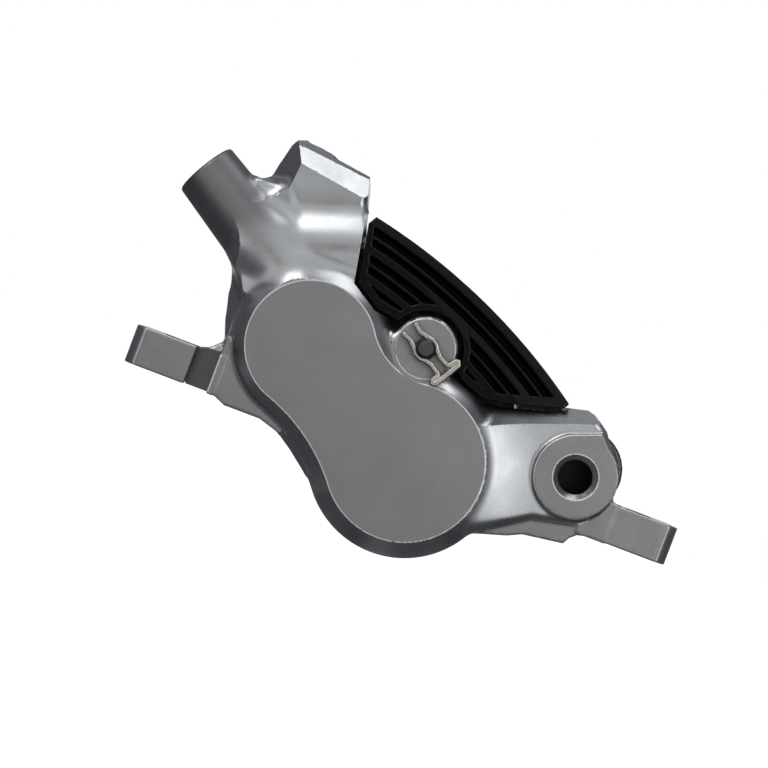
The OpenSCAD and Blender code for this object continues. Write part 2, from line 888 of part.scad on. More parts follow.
// Snap retainer bent from one wire: two legs in the axle's groove and a loop to pull it by
module snap_retainer() {
    w = groove_r + wire_d / 2 + 0.02;
    path = [[-3.9, w + 0.35], [-1.9, w], [0.7, w], [2.1, 0.9], [3.35, 0.95], [3.75, 2.75], [4.95, 2.75],
        [4.95, -2.75], [3.75, -2.75], [3.35, -0.95], [2.1, -0.9], [0.7, -w], [-1.9, -w], [-3.9, -w - 0.35]];
    color([0.76, 0.7, 0.6]) piston_frame() translate([0, groove_y, axle_z]) rotate([90, 0, 0])
        bent_wire(path, wire_d / 2, 0.5);
}

// Profile of radius and X value turned about the X axis
module turned_x(pts, n = 32) {
    rotate([0, 90, 0]) rotate_extrude($fn = n) polygon(pts);
}

// Bleed screw sunk in the tube, with a hexagon socket in its outer end and a groove for its ring
module bleed_screw() {
    x0 = small_x - tube_reach + 4;
    color([0.55, 0.55, 0.57]) piston_frame() translate([0, tube_y, tube_z]) difference() {
        turned_x([
            [0, x0],
            [2.1, x0],
            [2.45, x0 + 0.35],
            [2.45, x0 + 5.2],
            [1.8, x0 + 5.2],
            [1.8, x0 + 6.6],
            [2.45, x0 + 6.6],
            [2.45, x0 + 7.9],
            [1.1, x0 + 9.3],
            [0, x0 + 9.3]
        ]);
        translate([x0 - 1, 0, 0]) rotate([0, 90, 0]) cylinder(r = 1.44, h = 4, $fn = 6);
    }
}

module bleed_ring() {
    x0 = small_x - tube_reach + 4;
    color([0.1, 0.1, 0.1]) piston_frame() translate([0, tube_y, tube_z]) turned_x([
        [1.82, x0 + 5.22],
        [2.48, x0 + 5.22],
        [2.48, x0 + 6.58],
        [1.82, x0 + 6.58]
    ]);
}

outboard_half();
inboard_half();
body_bolts();
crossover_ring();
passage_plugs();
outboard_large_piston();
outboard_small_piston();
inboard_large_piston();
inboard_small_piston();
outboard_large_seal();
outboard_small_seal();
inboard_large_seal();
inboard_small_seal();
outboard_backplate();
outboard_friction();
outboard_fins();
outboard_rivets();
inboard_backplate();
inboard_friction();
inboard_fins();
inboard_rivets();
pad_spring();
pad_axle();
snap_retainer();
bleed_screw();
bleed_ring();
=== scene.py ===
import json
import math

import bmesh
import bpy
import numpy as np
from mathutils import Matrix, Vector

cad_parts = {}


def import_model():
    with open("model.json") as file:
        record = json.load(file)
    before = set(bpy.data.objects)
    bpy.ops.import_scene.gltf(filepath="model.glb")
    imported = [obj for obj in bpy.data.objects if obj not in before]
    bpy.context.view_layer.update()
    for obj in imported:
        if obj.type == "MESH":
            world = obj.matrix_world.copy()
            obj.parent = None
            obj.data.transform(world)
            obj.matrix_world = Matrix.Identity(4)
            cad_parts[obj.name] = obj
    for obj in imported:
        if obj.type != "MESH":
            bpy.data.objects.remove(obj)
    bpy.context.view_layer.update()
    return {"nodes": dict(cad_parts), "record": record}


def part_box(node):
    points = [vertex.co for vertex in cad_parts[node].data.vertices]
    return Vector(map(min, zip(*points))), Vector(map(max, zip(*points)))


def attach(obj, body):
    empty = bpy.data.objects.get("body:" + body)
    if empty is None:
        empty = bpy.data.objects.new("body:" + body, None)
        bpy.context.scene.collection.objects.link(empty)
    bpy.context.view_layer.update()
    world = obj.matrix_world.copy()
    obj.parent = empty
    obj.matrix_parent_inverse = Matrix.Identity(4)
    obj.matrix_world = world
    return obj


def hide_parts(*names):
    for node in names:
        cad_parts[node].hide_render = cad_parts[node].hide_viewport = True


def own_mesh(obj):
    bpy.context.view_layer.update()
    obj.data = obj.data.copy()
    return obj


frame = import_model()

bl_info = {
    "name": "Disc brake caliper finishes",
    "version": (1, 0, 0),
    "blender": (4, 5, 0),
    "location": "3D View > Sidebar > Caliper",
    "description": "Forged body skins, finishes and a small studio for a four-piston brake caliper",
    "category": "Object",
}

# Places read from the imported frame, in millimetres
MM = 0.001
NODES = frame["nodes"]


def node_box(name):
    """Lowest and highest corner of a node, in millimetres"""
    low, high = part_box(name)
    return np.array(low) / MM, np.array(high) / MM


def node_middle(name):
    """X and Z of the middle of a node that is round about a Y axis"""
    low, high = node_box(name)
    return np.array([(low[0] + high[0]) / 2, (low[2] + high[2]) / 2])


def node_radius(name):
    """Radius of a node that is round about a Y axis"""
    low, high = node_box(name)
    return (high[0] - low[0]) / 2


SMALL_AT = node_middle("outboard_small_piston")
LARGE_AT = node_middle("outboard_large_piston")
AXLE_AT = node_middle("pad_axle")
PITCH = float(np.linalg.norm(LARGE_AT - SMALL_AT))
ALONG = (LARGE_AT - SMALL_AT) / PITCH
ACROSS = np.array([-ALONG[1], ALONG[0]])
MIDDLE = (SMALL_AT + LARGE_AT) / 2
AXLE_W = float(np.dot(AXLE_AT - MIDDLE, ACROSS))
SMALL_R = node_radius("outboard_small_piston")
LARGE_R = node_radius("outboard_large_piston")
JOINT_Y = float(node_box("outboard_half")[1][1])
FACE_Y = float(node_box("outboard_half")[0][1])
BACK_Y = float(node_box("outboard_backplate")[0][1])
FRICTION_Y = float(node_box("outboard_friction")[0][1])
EAR_TIP = float(node_box("outboard_half")[1][0])
MOUNTS = {m["name"]: m for m in frame["record"]["mounts"]}
PORT_AT = np.array([MOUNTS["hose_port"]["pos_m"][0], MOUNTS["hose_port"]["pos_m"][2]]) / MM
PORT_R = MOUNTS["hose_port"]["dims"]["r_mm"]
SLOT_X = MOUNTS["post_mount"]["dims"]["spacing_x_mm"] / 2
SLOT_R = MOUNTS["post_mount"]["dims"]["hole_r_mm"]
SLOT_LEN = MOUNTS["post_mount"]["dims"]["slot_length_mm"]
EAR_T = MOUNTS["ear_top_left"]["pos_m"][2] / MM

# Depths and radii of the forging, in millimetres
POCKET_Y = BACK_Y - 2.0
BLOCK_Y = FACE_Y + 2.4
FAR_BLOCK_Y = FACE_Y + 4.6
FAR_ARM_Y = FACE_Y + 4.6
PORT_Y = FACE_Y + 1.0
PORT_BOSS_R = 6.45
PORT_DEPTH = 8.6
PORT_SINK = 0.8
BOSS_Y = FACE_Y + 0.8
COLLAR_R = 5.0
DISC_R = 4.65
DISH_R = 4.8
AXLE_HOLE_R = 1.65
TUBE_Y = FACE_Y + 6.4
TUBE_W = 4.6
TUBE_END = -42.8
TUBE_LEN = 28.8
TUBE_R = 4.95
TUBE_MOUTH = (3.45, 3.0)
TUBE_BORE = (2.5, 13.5)
EAR_W = 13.5
EAR_FRONT = -EAR_W / 2
EAR_CORNER_R = 2.5
EAR_ROOT = 29.5
EAR_GROOVE = (-34.35, -30.45)
EAR_GROOVE_DEPTH = 3.4
GUSSET_Y = (-3.3, 4.0)
BACK_FORMS_Y = FACE_Y + 7.5
WALL_FOOT = 1.9
THIN_FLANGE_X = -17.5
THIN_FLANGE_LEAN = (0.5, 0.87)
SWEEP_DEPTH = 1.5
SWEEP_RUN = 5.0
ARM_BEVEL_AT = (10.2, 10.7)
ARM_BEVEL_TURN = (0.316, 0.949)
ARM_BEVEL_LEAN = (0.6, 0.8)
ARM_BEVEL_Y = FACE_Y + 1.6
ROTOR_R = 91.6
ROTOR_DROP = 91.2
ROTOR_HALF = 1.85
PISTON_PLAY = 0.05
MOUTH_PLAY = 0.45
BORE_DEPTH = 10.2
NEAR_RING = (5.2, 0.7)
FAR_RING = (6.0, 0.9)
AXLE_HEAD_R = 2.9
AXLE_HEAD_DEPTH = 2.4
FAR_BOLT_BOSS_R = (6.1, 6.6)
FAR_BOLT_BOSS_LEN = 13
BOLT_HEAD_R = 5.2
BOLT_SEAT = 11
BOLT_HOLE_R = 3.25
OUTSIDE = FACE_Y - 9
FILLET = {"tube": 1.8, "ridge": 3.6, "block": 2.0, "web": 1.6, "right_flange": 0.6, "arm": 0.8,
          "shoulder": 2.5, "collar": 2.2, "port": 0.7, "left_flange": 0.5, "ears": 0.5, "gusset": 0.8,
          "bolt_boss": 0.8, "far_forms": 2.0, "far_bolts": 1.0}
EDGE = {"tube": 0.4, "block": 0.7, "bolt_boss": 0.8, "web": 0.8, "arm": 2.4, "flange": 0.3, "shoulder": 1.5,
        "collar": 0.5, "disc": 0.15, "port": 0.25, "ears": 0.25, "gusset": 0.4, "far_block": 1.0,
        "far_bolts": 0.5, "fins": 0.2}


def tilted(x, z):
    """Turns X and Z into distances along the piston line and across it"""
    dx = x - MIDDLE[0]
    dz = z - MIDDLE[1]
    return dx * ALONG[0] + dz * ALONG[1], dx * ACROSS[0] + dz * ACROSS[1]


def disc(a, b, centre, r):
    """Signed distance from a circle"""
    return np.hypot(a - centre[0], b - centre[1]) - r


def line_distance(a, b, points):
    """Distance from a chain of straight lines"""
    nearest = np.full(np.broadcast(a, b).shape, 1e9)
    for (pa, pb), (qa, qb) in zip(points[:-1], points[1:]):
        ea, eb = qa - pa, qb - pb
        t = np.clip(((a - pa) * ea + (b - pb) * eb) / (ea * ea + eb * eb), 0, 1)
        nearest = np.minimum(nearest, (a - pa - t * ea) ** 2 + (b - pb - t * eb) ** 2)
    return np.sqrt(nearest)


def outline(a, b, points):
    """Signed distance from a closed outline"""
    ring = points + points[:1]
    inside = np.zeros(np.broadcast(a, b).shape, bool)
    for (pa, pb), (qa, qb) in zip(ring[:-1], ring[1:]):
        if qb != pb:
            crosses = (pb > b) != (qb > b)
            inside ^= crosses & (a < (qa - pa) * (b - pb) / (qb - pb) + pa)
    return np.where(inside, -1, 1) * line_distance(a, b, ring)


def rounded(p, q, r):
    """The overlap of two shapes, with the edge between them rounded to r"""
    return np.minimum(np.maximum(p, q) + r, 0) + np.hypot(np.maximum(p + r, 0), np.maximum(q + r, 0)) - r


def plate(flat, y, y0, y1, r=0.0):
    """A flat shape made solid from y0 to y1, with its edges rounded to r"""
    rise = np.maximum(y0 - y, y - y1)
    return rounded(flat, rise, r) if r else np.maximum(flat, rise)


def weld(a, b, r):
    """Both shapes, with a hollow fillet of about r where they meet"""
    near = np.maximum(r - np.abs(a - b), 0) / r
    return np.minimum(a, b) - near * near * r / 4


def carve(a, b, r):
    """Shape a without shape b, with the edge rounded to about r"""
    return -weld(-a, b, r)


def waist(r, side):
    """Centre of the arc of radius r that runs into both lobes of the face, below (-1) or above (1)"""
    a, b = r + FACE_SMALL_R, r + FACE_LARGE_R
    u = (a * a - b * b) / (2 * PITCH)
    return np.array([u, side * math.sqrt(a * a - (u + PITCH / 2) ** 2)])


# The bean-shaped face: two lobes and the two arcs of its waist
FACE_SMALL_R = 9.96
FACE_LARGE_R = 12.14
LOW_WAIST_R = 28.0
TOP_WAIST_R = 10.4
LOW_WAIST = waist(LOW_WAIST_R, -1)
TOP_WAIST = waist(TOP_WAIST_R, 1)
SMALL_C = (-PITCH / 2, 0.0)
LARGE_C = (PITCH / 2, 0.0)
AXLE_C = (0.0, AXLE_W)
WALL_FLARE = 2.8
WALL_DEPTH = 6.2
WALL_POWER = 2.8

# Outlines as X and Z, or along and across the piston line for what the pads need
BLOCK = [(-34.9, 33.3), (-33.3, 34.6), (-32.4, 38.2), (-31.9, 40.0), (-31.2, 41.1), (-30.0, 41.7),
         (-28.7, 41.1), (-19.0, 39.8), (-18.7, 38.9), (-17.3, 33.9), (-14.0, 22.0), (-18.0, 14.0),
         (-31.0, 16.0), (-33.6, 20.6)]
RIDGE = [(-31.0, 24.4), (-17.4, 29.0)]
RIDGE_R = 3.5
RIDGE_Y = FACE_Y + 5.6
SADDLE_R = 20.1
SADDLE_Y = BLOCK_Y - 19.0
SADDLE_ASIDE = 4.0
BLOCK_PIVOT = (-24, 38)
BLOCK_TURN = math.radians(13.2)
BEVEL_LEAN = (0.759, 0.651)
BEVEL_DROP = 1.77
RIM_LEAN = (0.5, 0.866)
RIM_TURN = (0.16, 0.987)
RIM_RISE = 1.7
RIM_DEPTH = 2.9
FLANK_X = -28.9
FLANK_LEAN = (0.6, 0.8)
FLANK_TOP = 33.5
BLOCK_BOSS = (-28.2, 37.0)
BLOCK_BOSS_R = 4.5
BLOCK_BOSS_X = -32.1
SHOULDER = [(-33.3, 20.5), (-33.2, 15.3), (-32.2, 11.5), (-30.9, 8.6), (-30.5, 5.0), (-22.0, 4.0),
            (-20.0, 20.0)]
WEB = [(-34.6, 21.4), (-36.2, 27.0), (-35.1, 33.4), (-30.0, 34.0), (-22.0, 22.0), (-30.0, 17.0)]
ARM = [(4.0, 10.0), (9.0, 13.9), (12.2, 14.4), (21.6, 17.2), (25.0, 18.0), (26.2, 17.6), (28.6, 15.9),
       (31.6, 11.6), (32.4, 8.0), (31.6, 4.0), (28.8, 1.0), (22.4, -0.4), (14.0, -6.0), (6.0, -2.0)]
LEFT_PLATE = [(-30.45, 0), (-29.2, -0.1), (-28.2, -0.5), (-27.3, -0.9), (-21.5, -0.9), (-18.5, -1.8),
              (-15.5, -3.8), (-11.9, -6.6), (-6.0, -7.0), (-12.0, 12.0), (-27.0, 14.5), (-29.4, 12.0),
              (-30.45, 9.4)]
RIGHT_PLATE = [(14.0, -6.0), (19.9, -4.2), (22.0, -3.2), (28.3, -2.3), (28.9, -1.2), (29.8, -0.4),
               (30.9, 0), (34.0, 0), (34.0, EAR_T), (33.2, EAR_T + 0.4), (32.0, EAR_T + 2.0),
               (30.5, 9.0), (28.0, 3.0), (14.0, -1.0)]
GUSSET = [(-34.2, EAR_T - 1.0), (-33.6, EAR_T + 0.1), (-32.8, EAR_T + 0.5), (-32.0, EAR_T + 1.2),
          (-31.2, EAR_T + 2.0), (-30.4, EAR_T + 3.2), (-29.0, EAR_T + 3.2), (-29.0, EAR_T - 1.0)]
PORT_CORNER = [(0.0, 0.0), (-2.3, 6.0), (1.5, 7.5), (4.9, 3.9), (6.2, 1.0)]
FIN_WINDOW = [(-21.7, 60), (-21.7, 19.5), (-20.8, 18.3), (-14.55, 11.1), (-9.4, 10.9), (-6.3, 12.1),
              (-5.4, 12.4), (5.4, 14.1), (8.1, 14.1), (11.7, 14.8), (14.4, 16.7), (20.9, 23.4), (20.9, 60)]
WINDOW_BOSS_R = 5.5
LEDGE_AT = (19.4, 15.0)
LEDGE_TURN = (0.731, 0.682)
LEDGE_RISE = 0.6
LEDGE_U = 15.8
LEDGE_Y = 6.4
PAD_POCKET = [(-19.9, -8.1), (-19.9, 60), (19.9, 60), (19.9, -8.1), (17.9, -10.1), (-17.9, -10.1)]
FAR_BLOCK = [(-31.8, 40.0), (-31.2, 41.0), (-30.0, 41.6), (-28.4, 41.5), (-19.9, 39.2), (-17.5, 33.9),
             (-14.0, 22.0), (-18.0, 14.0), (-30.0, 17.0), (-33.0, 30.0)]
FAR_ARM = [(4.0, 10.0), (9.0, 13.9), (12.2, 14.4), (21.6, 17.2), (25.0, 17.8), (30.7, 15.5), (32.2, 6.0),
           (27.0, 0.8), (14.0, -5.0), (6.0, -2.0)]
BOLTS = [(-28.0, 36.4), (28.8, 9.2)]


def face_outline(u, w):
    """Signed distance from the bean-shaped outline of the outer face"""
    between = outline(u, w, [SMALL_C, tuple(LOW_WAIST), LARGE_C, tuple(TOP_WAIST)]) < 0
    arcs = np.maximum(-disc(u, w, LOW_WAIST, LOW_WAIST_R), -disc(u, w, TOP_WAIST, TOP_WAIST_R))
    neck = np.where(between, arcs, 99.0)
    lobes = np.minimum(disc(u, w, SMALL_C, FACE_SMALL_R), disc(u, w, LARGE_C, FACE_LARGE_R))
    return np.minimum(lobes, neck)


def housing(u, w, y):
    """Piston housing: flat bean-shaped face, then walls that swing out to full width"""
    depth = np.clip((y - FACE_Y) / WALL_DEPTH, 0, 1)
    flare = WALL_FLARE * (1 - (1 - depth) ** WALL_POWER)
    slope = WALL_FLARE / WALL_DEPTH * WALL_POWER * (1 - depth) ** (WALL_POWER - 1)
    wall = (face_outline(u, w) - flare) / np.sqrt(1 + slope * slope)
    return np.maximum(wall, FACE_Y - y)


def bolt_block(x, z, y):
    """Bolt block with a flat bevel along its top edge and a second, shallow one below it"""
    block = plate(outline(x, z, BLOCK), y, BLOCK_Y, JOINT_Y, EDGE["block"])
    dx, dz = x - BLOCK_PIVOT[0], z - BLOCK_PIVOT[1]
    rise = dx * math.sin(BLOCK_TURN) + dz * math.cos(BLOCK_TURN)
    bevel = (BLOCK_Y - y) * BEVEL_LEAN[0] + (rise + BEVEL_DROP) * BEVEL_LEAN[1]
    rim = (BLOCK_Y + RIM_DEPTH - y) * RIM_LEAN[0]
    rim = rim + (dx * RIM_TURN[0] + dz * RIM_TURN[1] - RIM_RISE) * RIM_LEAN[1]
    aside = beside_ridge(x, z)[1]
    saddle = np.hypot(y - SADDLE_Y, aside - SADDLE_ASIDE) - SADDLE_R
    block = carve(block, saddle, 1.6)
    flank = (FLANK_X - x) * FLANK_LEAN[1] + (BLOCK_Y - 0.3 - y) * FLANK_LEAN[0]
    flank = flank - 0.6 * np.clip(FLANK_TOP - z, 0, 9)
    block = np.maximum(block, np.maximum(np.maximum(bevel, rim), flank))
    boss = np.maximum(disc(x, z, BLOCK_BOSS, BLOCK_BOSS_R), BLOCK_BOSS_X - x)
    boss = plate(boss, y, BACK_FORMS_Y, JOINT_Y, EDGE["bolt_boss"])
    return weld(block, boss, FILLET["bolt_boss"])


def beside_ridge(x, z):
    """Distances along and beside the ridge over the cross drilling"""
    ax, az = RIDGE[0]
    ex, ez = RIDGE[1][0] - ax, RIDGE[1][1] - az
    length = math.hypot(ex, ez)
    along = ((x - ax) * ex + (z - az) * ez) / length
    aside = ((z - az) * ex - (x - ax) * ez) / length
    return along, aside, length


def ridge(x, z, y):
    """Round ridge over the cross drilling, between the bleed tube and the pad window"""
    along, aside, length = beside_ridge(x, z)
    r = np.hypot(aside, y - RIDGE_Y) - RIDGE_R
    return np.maximum(r, np.maximum(-along - 2, along - length - 1))


def bleed_tube(u, w, y):
    """Bleed tube with a slight draft and a rounded rim"""
    run = np.clip(u - TUBE_END, 0, 24)
    around = np.hypot(y - TUBE_Y, w - TUBE_W + 0.03 * run) - TUBE_R - 0.035 * run
    return rounded(around, np.maximum(TUBE_END - u, u - TUBE_END - TUBE_LEN), EDGE["tube"])


def arm(x, z, y, shape, top):
    """Arm between the large piston and the hose port"""
    return plate(outline(x, z, shape), y, top, JOINT_Y, EDGE["arm"])


def port_outline(x, z):
    """Signed distance from the round outline of the hose port boss, with its flat top edge and corner"""
    px, pz = x - PORT_AT[0], z - PORT_AT[1]
    return np.minimum(disc(px, pz, (0, 0), PORT_BOSS_R), outline(px, pz, PORT_CORNER))


def port_boss(x, z, y):
    """Boss of the hose port"""
    return plate(port_outline(x, z), y, PORT_Y, JOINT_Y, EDGE["port"])


def axle_boss(u, w, y):
    """Collar round the end of the pad axle"""
    return plate(disc(u, w, AXLE_C, COLLAR_R), y, BOSS_Y + 1.1, POCKET_Y, EDGE["collar"])


def axle_disc(u, w, y):
    """Turned disc that stands up from the axle's collar"""
    return plate(disc(u, w, AXLE_C, DISC_R), y, BOSS_Y, POCKET_Y, EDGE["disc"])


def turned(body, u, w, y, ring_r, ring_depth):
    """Body with a ring turned out round the axle's disc"""
    r = np.hypot(u - AXLE_C[0], w - AXLE_C[1])
    body = np.maximum(body, -plate(np.maximum(r - ring_r, DISC_R - r), y, FACE_Y - 1, BOSS_Y + ring_depth))
    return np.maximum(body, -plate(r - DISH_R, y, FACE_Y - 1, BOSS_Y))


def ears(x, z, y):
    """Both mounting ears, rounded at their tips seen from above"""
    plan = rounded(np.abs(x) - EAR_TIP, np.abs(y) - EAR_W / 2, EAR_CORNER_R)
    plan = np.maximum(plan, EAR_ROOT - np.abs(x))
    return rounded(plan, np.maximum(-z, z - EAR_T), EDGE["ears"])


def slots(x, z, y):
    """Long mounting slots across the line of the posts"""
    half = SLOT_LEN / 2 - SLOT_R
    across = np.maximum(np.abs(y) - half, 0)
    return np.maximum(np.hypot(np.abs(x) - SLOT_X, across) - SLOT_R, z - EAR_T - 1)


def window_ledge(u, w, y):
    """Sloping ledge at the right end of the pad window, beside the rotor"""
    slope = LEDGE_RISE - ((u - LEDGE_AT[0]) * LEDGE_TURN[0] + (w - LEDGE_AT[1]) * LEDGE_TURN[1])
    ledge = np.maximum(slope, LEDGE_U - u)
    ledge = np.maximum(ledge, (w - 16.9 - (u - 14.4) * 1.031) * 0.69 - 1.6)
    return np.maximum(ledge, LEDGE_Y - y)


def inner_space(x, z, u, w, y):
    """Everything that the pads, the pistons, the axle and the rotor need"""
    space = plate(outline(u, w, PAD_POCKET), y, POCKET_Y, JOINT_Y + 5)
    window = np.maximum(outline(u, w, FIN_WINDOW), -disc(u, w, AXLE_C, WINDOW_BOSS_R))
    space = np.minimum(space, plate(window, y, OUTSIDE, FRICTION_Y))
    space = np.maximum(space, -window_ledge(u, w, y))
    rotor = plate(disc(u, w, (0, AXLE_W - ROTOR_DROP), ROTOR_R), y, JOINT_Y - ROTOR_HALF, JOINT_Y + 5)
    space = np.minimum(space, rotor)
    for centre, r in ((SMALL_C, SMALL_R), (LARGE_C, LARGE_R)):
        bore = plate(disc(u, w, centre, r + PISTON_PLAY), y, BACK_Y - BORE_DEPTH, POCKET_Y + 0.1)
        mouth = plate(disc(u, w, centre, r + MOUTH_PLAY), y, POCKET_Y - 0.3, FRICTION_Y)
        space = np.minimum(space, np.minimum(bore, mouth))
    return np.minimum(space, disc(u, w, AXLE_C, AXLE_HOLE_R) + 0 * y)


def swept_arm(x, z, y, away):
    """Arm of the near half, swept up to the face's rim, with a bevelled top edge and the right flange"""
    sweep = (FACE_Y + 0.3 + SWEEP_DEPTH * (1 - np.exp(-away / SWEEP_RUN)) - y) * 0.98
    limb = carve(arm(x, z, y, ARM, FACE_Y), -sweep, 1.0)
    rise = (z - ARM_BEVEL_AT[1]) * ARM_BEVEL_TURN[1] - (x - ARM_BEVEL_AT[0]) * ARM_BEVEL_TURN[0]
    limb = np.maximum(limb, rise * ARM_BEVEL_LEAN[1] + (ARM_BEVEL_Y - y) * ARM_BEVEL_LEAN[0])
    flange = plate(outline(x, z, RIGHT_PLATE), y, EAR_FRONT, -EAR_FRONT, EDGE["flange"])
    return weld(limb, carve(flange, outline(x, z, ARM) + 1.2, EDGE["flange"]), FILLET["right_flange"])


def left_flange(x, z, y, away, edge):
    """Flat flange left of the housing, which leans back into the wall at its thin end"""
    flange = plate(outline(x, z, LEFT_PLATE), y, EAR_FRONT, -EAR_FRONT, EDGE["flange"])
    lean = (away - 2.2) * THIN_FLANGE_LEAN[1] - (y - EAR_FRONT) * THIN_FLANGE_LEAN[0]
    flange = np.maximum(flange, lean - np.clip(THIN_FLANGE_X - x, 0, 9))
    wall_foot = WALL_FOOT + np.clip((z - 8.0) / 2.0, 0, 1)
    return carve(flange, edge - wall_foot, EDGE["flange"])


def drillings(x, z, u, w, y):
    """Hose port with its countersink, the bleed tube's mouth and the bleed screw's bore"""
    hole = np.hypot(x - PORT_AT[0], z - PORT_AT[1]) - PORT_R
    port = plate(hole, y, PORT_Y - 1, PORT_Y + PORT_DEPTH)
    sink = np.maximum((hole - PORT_SINK + (y - PORT_Y)) * 0.707, PORT_Y - 1 - y)
    around = np.hypot(y - TUBE_Y, w - TUBE_W)
    mouth = np.maximum(around - TUBE_MOUTH[0], u - TUBE_END - TUBE_MOUTH[1])
    screw = np.maximum(around - TUBE_BORE[0], u - TUBE_END - TUBE_BORE[1])
    return np.minimum(np.minimum(port, sink), np.minimum(mouth, screw))


def outboard_distance(x, y, z):
    """Signed distance from the near forged half"""
    u, w = tilted(x, z)
    edge = face_outline(u, w)
    away = np.maximum(edge, 0)
    body = housing(u, w, y)
    body = weld(body, bleed_tube(u, w, y), FILLET["tube"])
    body = weld(body, weld(bolt_block(x, z, y), ridge(x, z, y), FILLET["ridge"]), FILLET["block"])
    body = weld(body, plate(outline(x, z, WEB), y, TUBE_Y - 2.6, JOINT_Y, EDGE["web"]), FILLET["web"])
    body = weld(body, swept_arm(x, z, y, away), FILLET["arm"])
    shoulder = plate(outline(x, z, SHOULDER), y, BACK_FORMS_Y, JOINT_Y, EDGE["shoulder"])
    body = weld(body, shoulder, FILLET["shoulder"])
    body = weld(body, axle_boss(u, w, y), FILLET["collar"])
    body = np.minimum(body, axle_disc(u, w, y))
    body = weld(body, port_boss(x, z, y), FILLET["port"])
    body = weld(body, left_flange(x, z, y, away, edge), FILLET["left_flange"])
    body = weld(body, ears(x, z, y), FILLET["ears"])
    body = weld(body, plate(outline(x, z, GUSSET), y, *GUSSET_Y, EDGE["gusset"]), FILLET["gusset"])
    body = np.maximum(body, np.maximum(FACE_Y - y, y - JOINT_Y))
    body = turned(body, u, w, y, *NEAR_RING)
    body = np.maximum(body, -inner_space(x, z, u, w, y))
    body = np.maximum(body, -slots(x, z, y))
    groove = np.maximum(np.maximum(EAR_GROOVE[0] - x, x - EAR_GROOVE[1]), z - EAR_T - 1.5)
    groove = np.maximum(groove, y - EAR_FRONT - EAR_GROOVE_DEPTH)
    return np.maximum(body, -np.minimum(groove, drillings(x, z, u, w, y)))


def inboard_distance(x, y, z):
    """Signed distance from the far forged half"""
    u, w = tilted(x, z)
    v = 2 * JOINT_Y - y
    body = housing(u, w, v)
    block = plate(outline(x, z, FAR_BLOCK), v, FAR_BLOCK_Y, JOINT_Y, EDGE["far_block"])
    body = weld(body, block, FILLET["far_forms"])
    body = weld(body, arm(x, z, v, FAR_ARM, FAR_ARM_Y), FILLET["far_forms"])
    body = weld(body, axle_boss(u, w, v), FILLET["collar"])
    body = np.minimum(body, axle_disc(u, w, v))
    for place, r in zip(BOLTS, FAR_BOLT_BOSS_R):
        boss = plate(disc(x, z, place, r), v, JOINT_Y - FAR_BOLT_BOSS_LEN, JOINT_Y, EDGE["far_bolts"])
        body = weld(body, boss, FILLET["far_bolts"])
    body = np.maximum(body, np.maximum(FACE_Y - v, v - JOINT_Y))
    body = turned(body, u, w, v, *FAR_RING)
    body = np.maximum(body, -inner_space(x, z, u, w, v))
    head = plate(disc(u, w, AXLE_C, AXLE_HEAD_R), v, FACE_Y - 1, BOSS_Y + AXLE_HEAD_DEPTH)
    body = np.maximum(body, -head)
    for place in BOLTS:
        body = np.maximum(body, -plate(disc(x, z, place, BOLT_HEAD_R), v, OUTSIDE, JOINT_Y - BOLT_SEAT))
        body = np.maximum(body, -plate(disc(x, z, place, BOLT_HOLE_R), v, OUTSIDE, JOINT_Y + 1))
    return body


# The cooling blocks, along and across the piston line
FIN_ARC = (11.2, AXLE_W - 84.8)
FIN_ARC_R = 97.0
FIN_FRONT = FACE_Y + 3.0
FIN_FLOOR = FACE_Y + 6.8
FIN_BOSS_R = 5.85
FIN_RIM = 0.6
FIN_BOSS_RIM = 1.1
FIN_SLOPE = 0.125
FIN_SLOPE_FROM = 19.0
FIN_EDGE = [(-20.3, 40.0), (20.4, 40.0), (20.4, 23.9), (13.9, 17.2), (11.4, 15.3), (8.1, 14.6), (5.6, 14.8),
            (-6.3, 12.6), (-9.4, 11.4), (-14.2, 11.6), (-20.3, 18.6)]
FIN_INSIDE = [(-19.2, 18.9), (-19.2, 40.0), (22.0, 40.0), (18.9, 24.6), (12.6, 17.9), (10.6, 16.6),
              (8.0, 15.9), (-6.3, 14.2), (-10.0, 12.8), (-13.7, 12.9)]
FIN_VALLEYS = [(1.45, 2.6), (3.15, 4.1), (5.35, 6.4), (6.95, 7.9), (9.15, 10.2), (10.7, 11.7)]


def fin_distance(u, w, y):
    """Signed distance from the cooling block: border walls with rounded valleys along the outer arc"""
    arc = disc(u, w, FIN_ARC, FIN_ARC_R)
    boss = disc(u, w, AXLE_C, FIN_BOSS_R)
    block = np.maximum(np.maximum(outline(u, w, FIN_EDGE), arc), -boss)
    slope = FIN_SLOPE * np.clip(w - FIN_SLOPE_FROM, 0, 8)
    block = plate(block, y - slope, FIN_FRONT, 99, EDGE["fins"])
    inside = np.maximum(np.maximum(outline(u, w, FIN_INSIDE), arc + FIN_RIM), FIN_BOSS_RIM - boss)
    valleys = np.full(np.broadcast(u, w, y).shape, 9.0)
    for near, far in FIN_VALLEYS:
        half = (far - near) / 2
        reach = np.maximum(y - (FIN_FLOOR - half), 0)
        valleys = np.minimum(valleys, np.hypot(-arc - (near + far) / 2, reach) - half)
    block = carve(block, np.maximum(valleys, inside + 0 * y), 0.25)
    return np.maximum(block, y - BACK_Y)


def outboard_fin_distance(x, y, z):
    """Signed distance from the near cooling block"""
    u, w = tilted(x, z)
    return fin_distance(u, w, y)


def inboard_fin_distance(x, y, z):
    """Signed distance from the far cooling block"""
    u, w = tilted(x, z)
    return fin_distance(u, w, 2 * JOINT_Y - y)


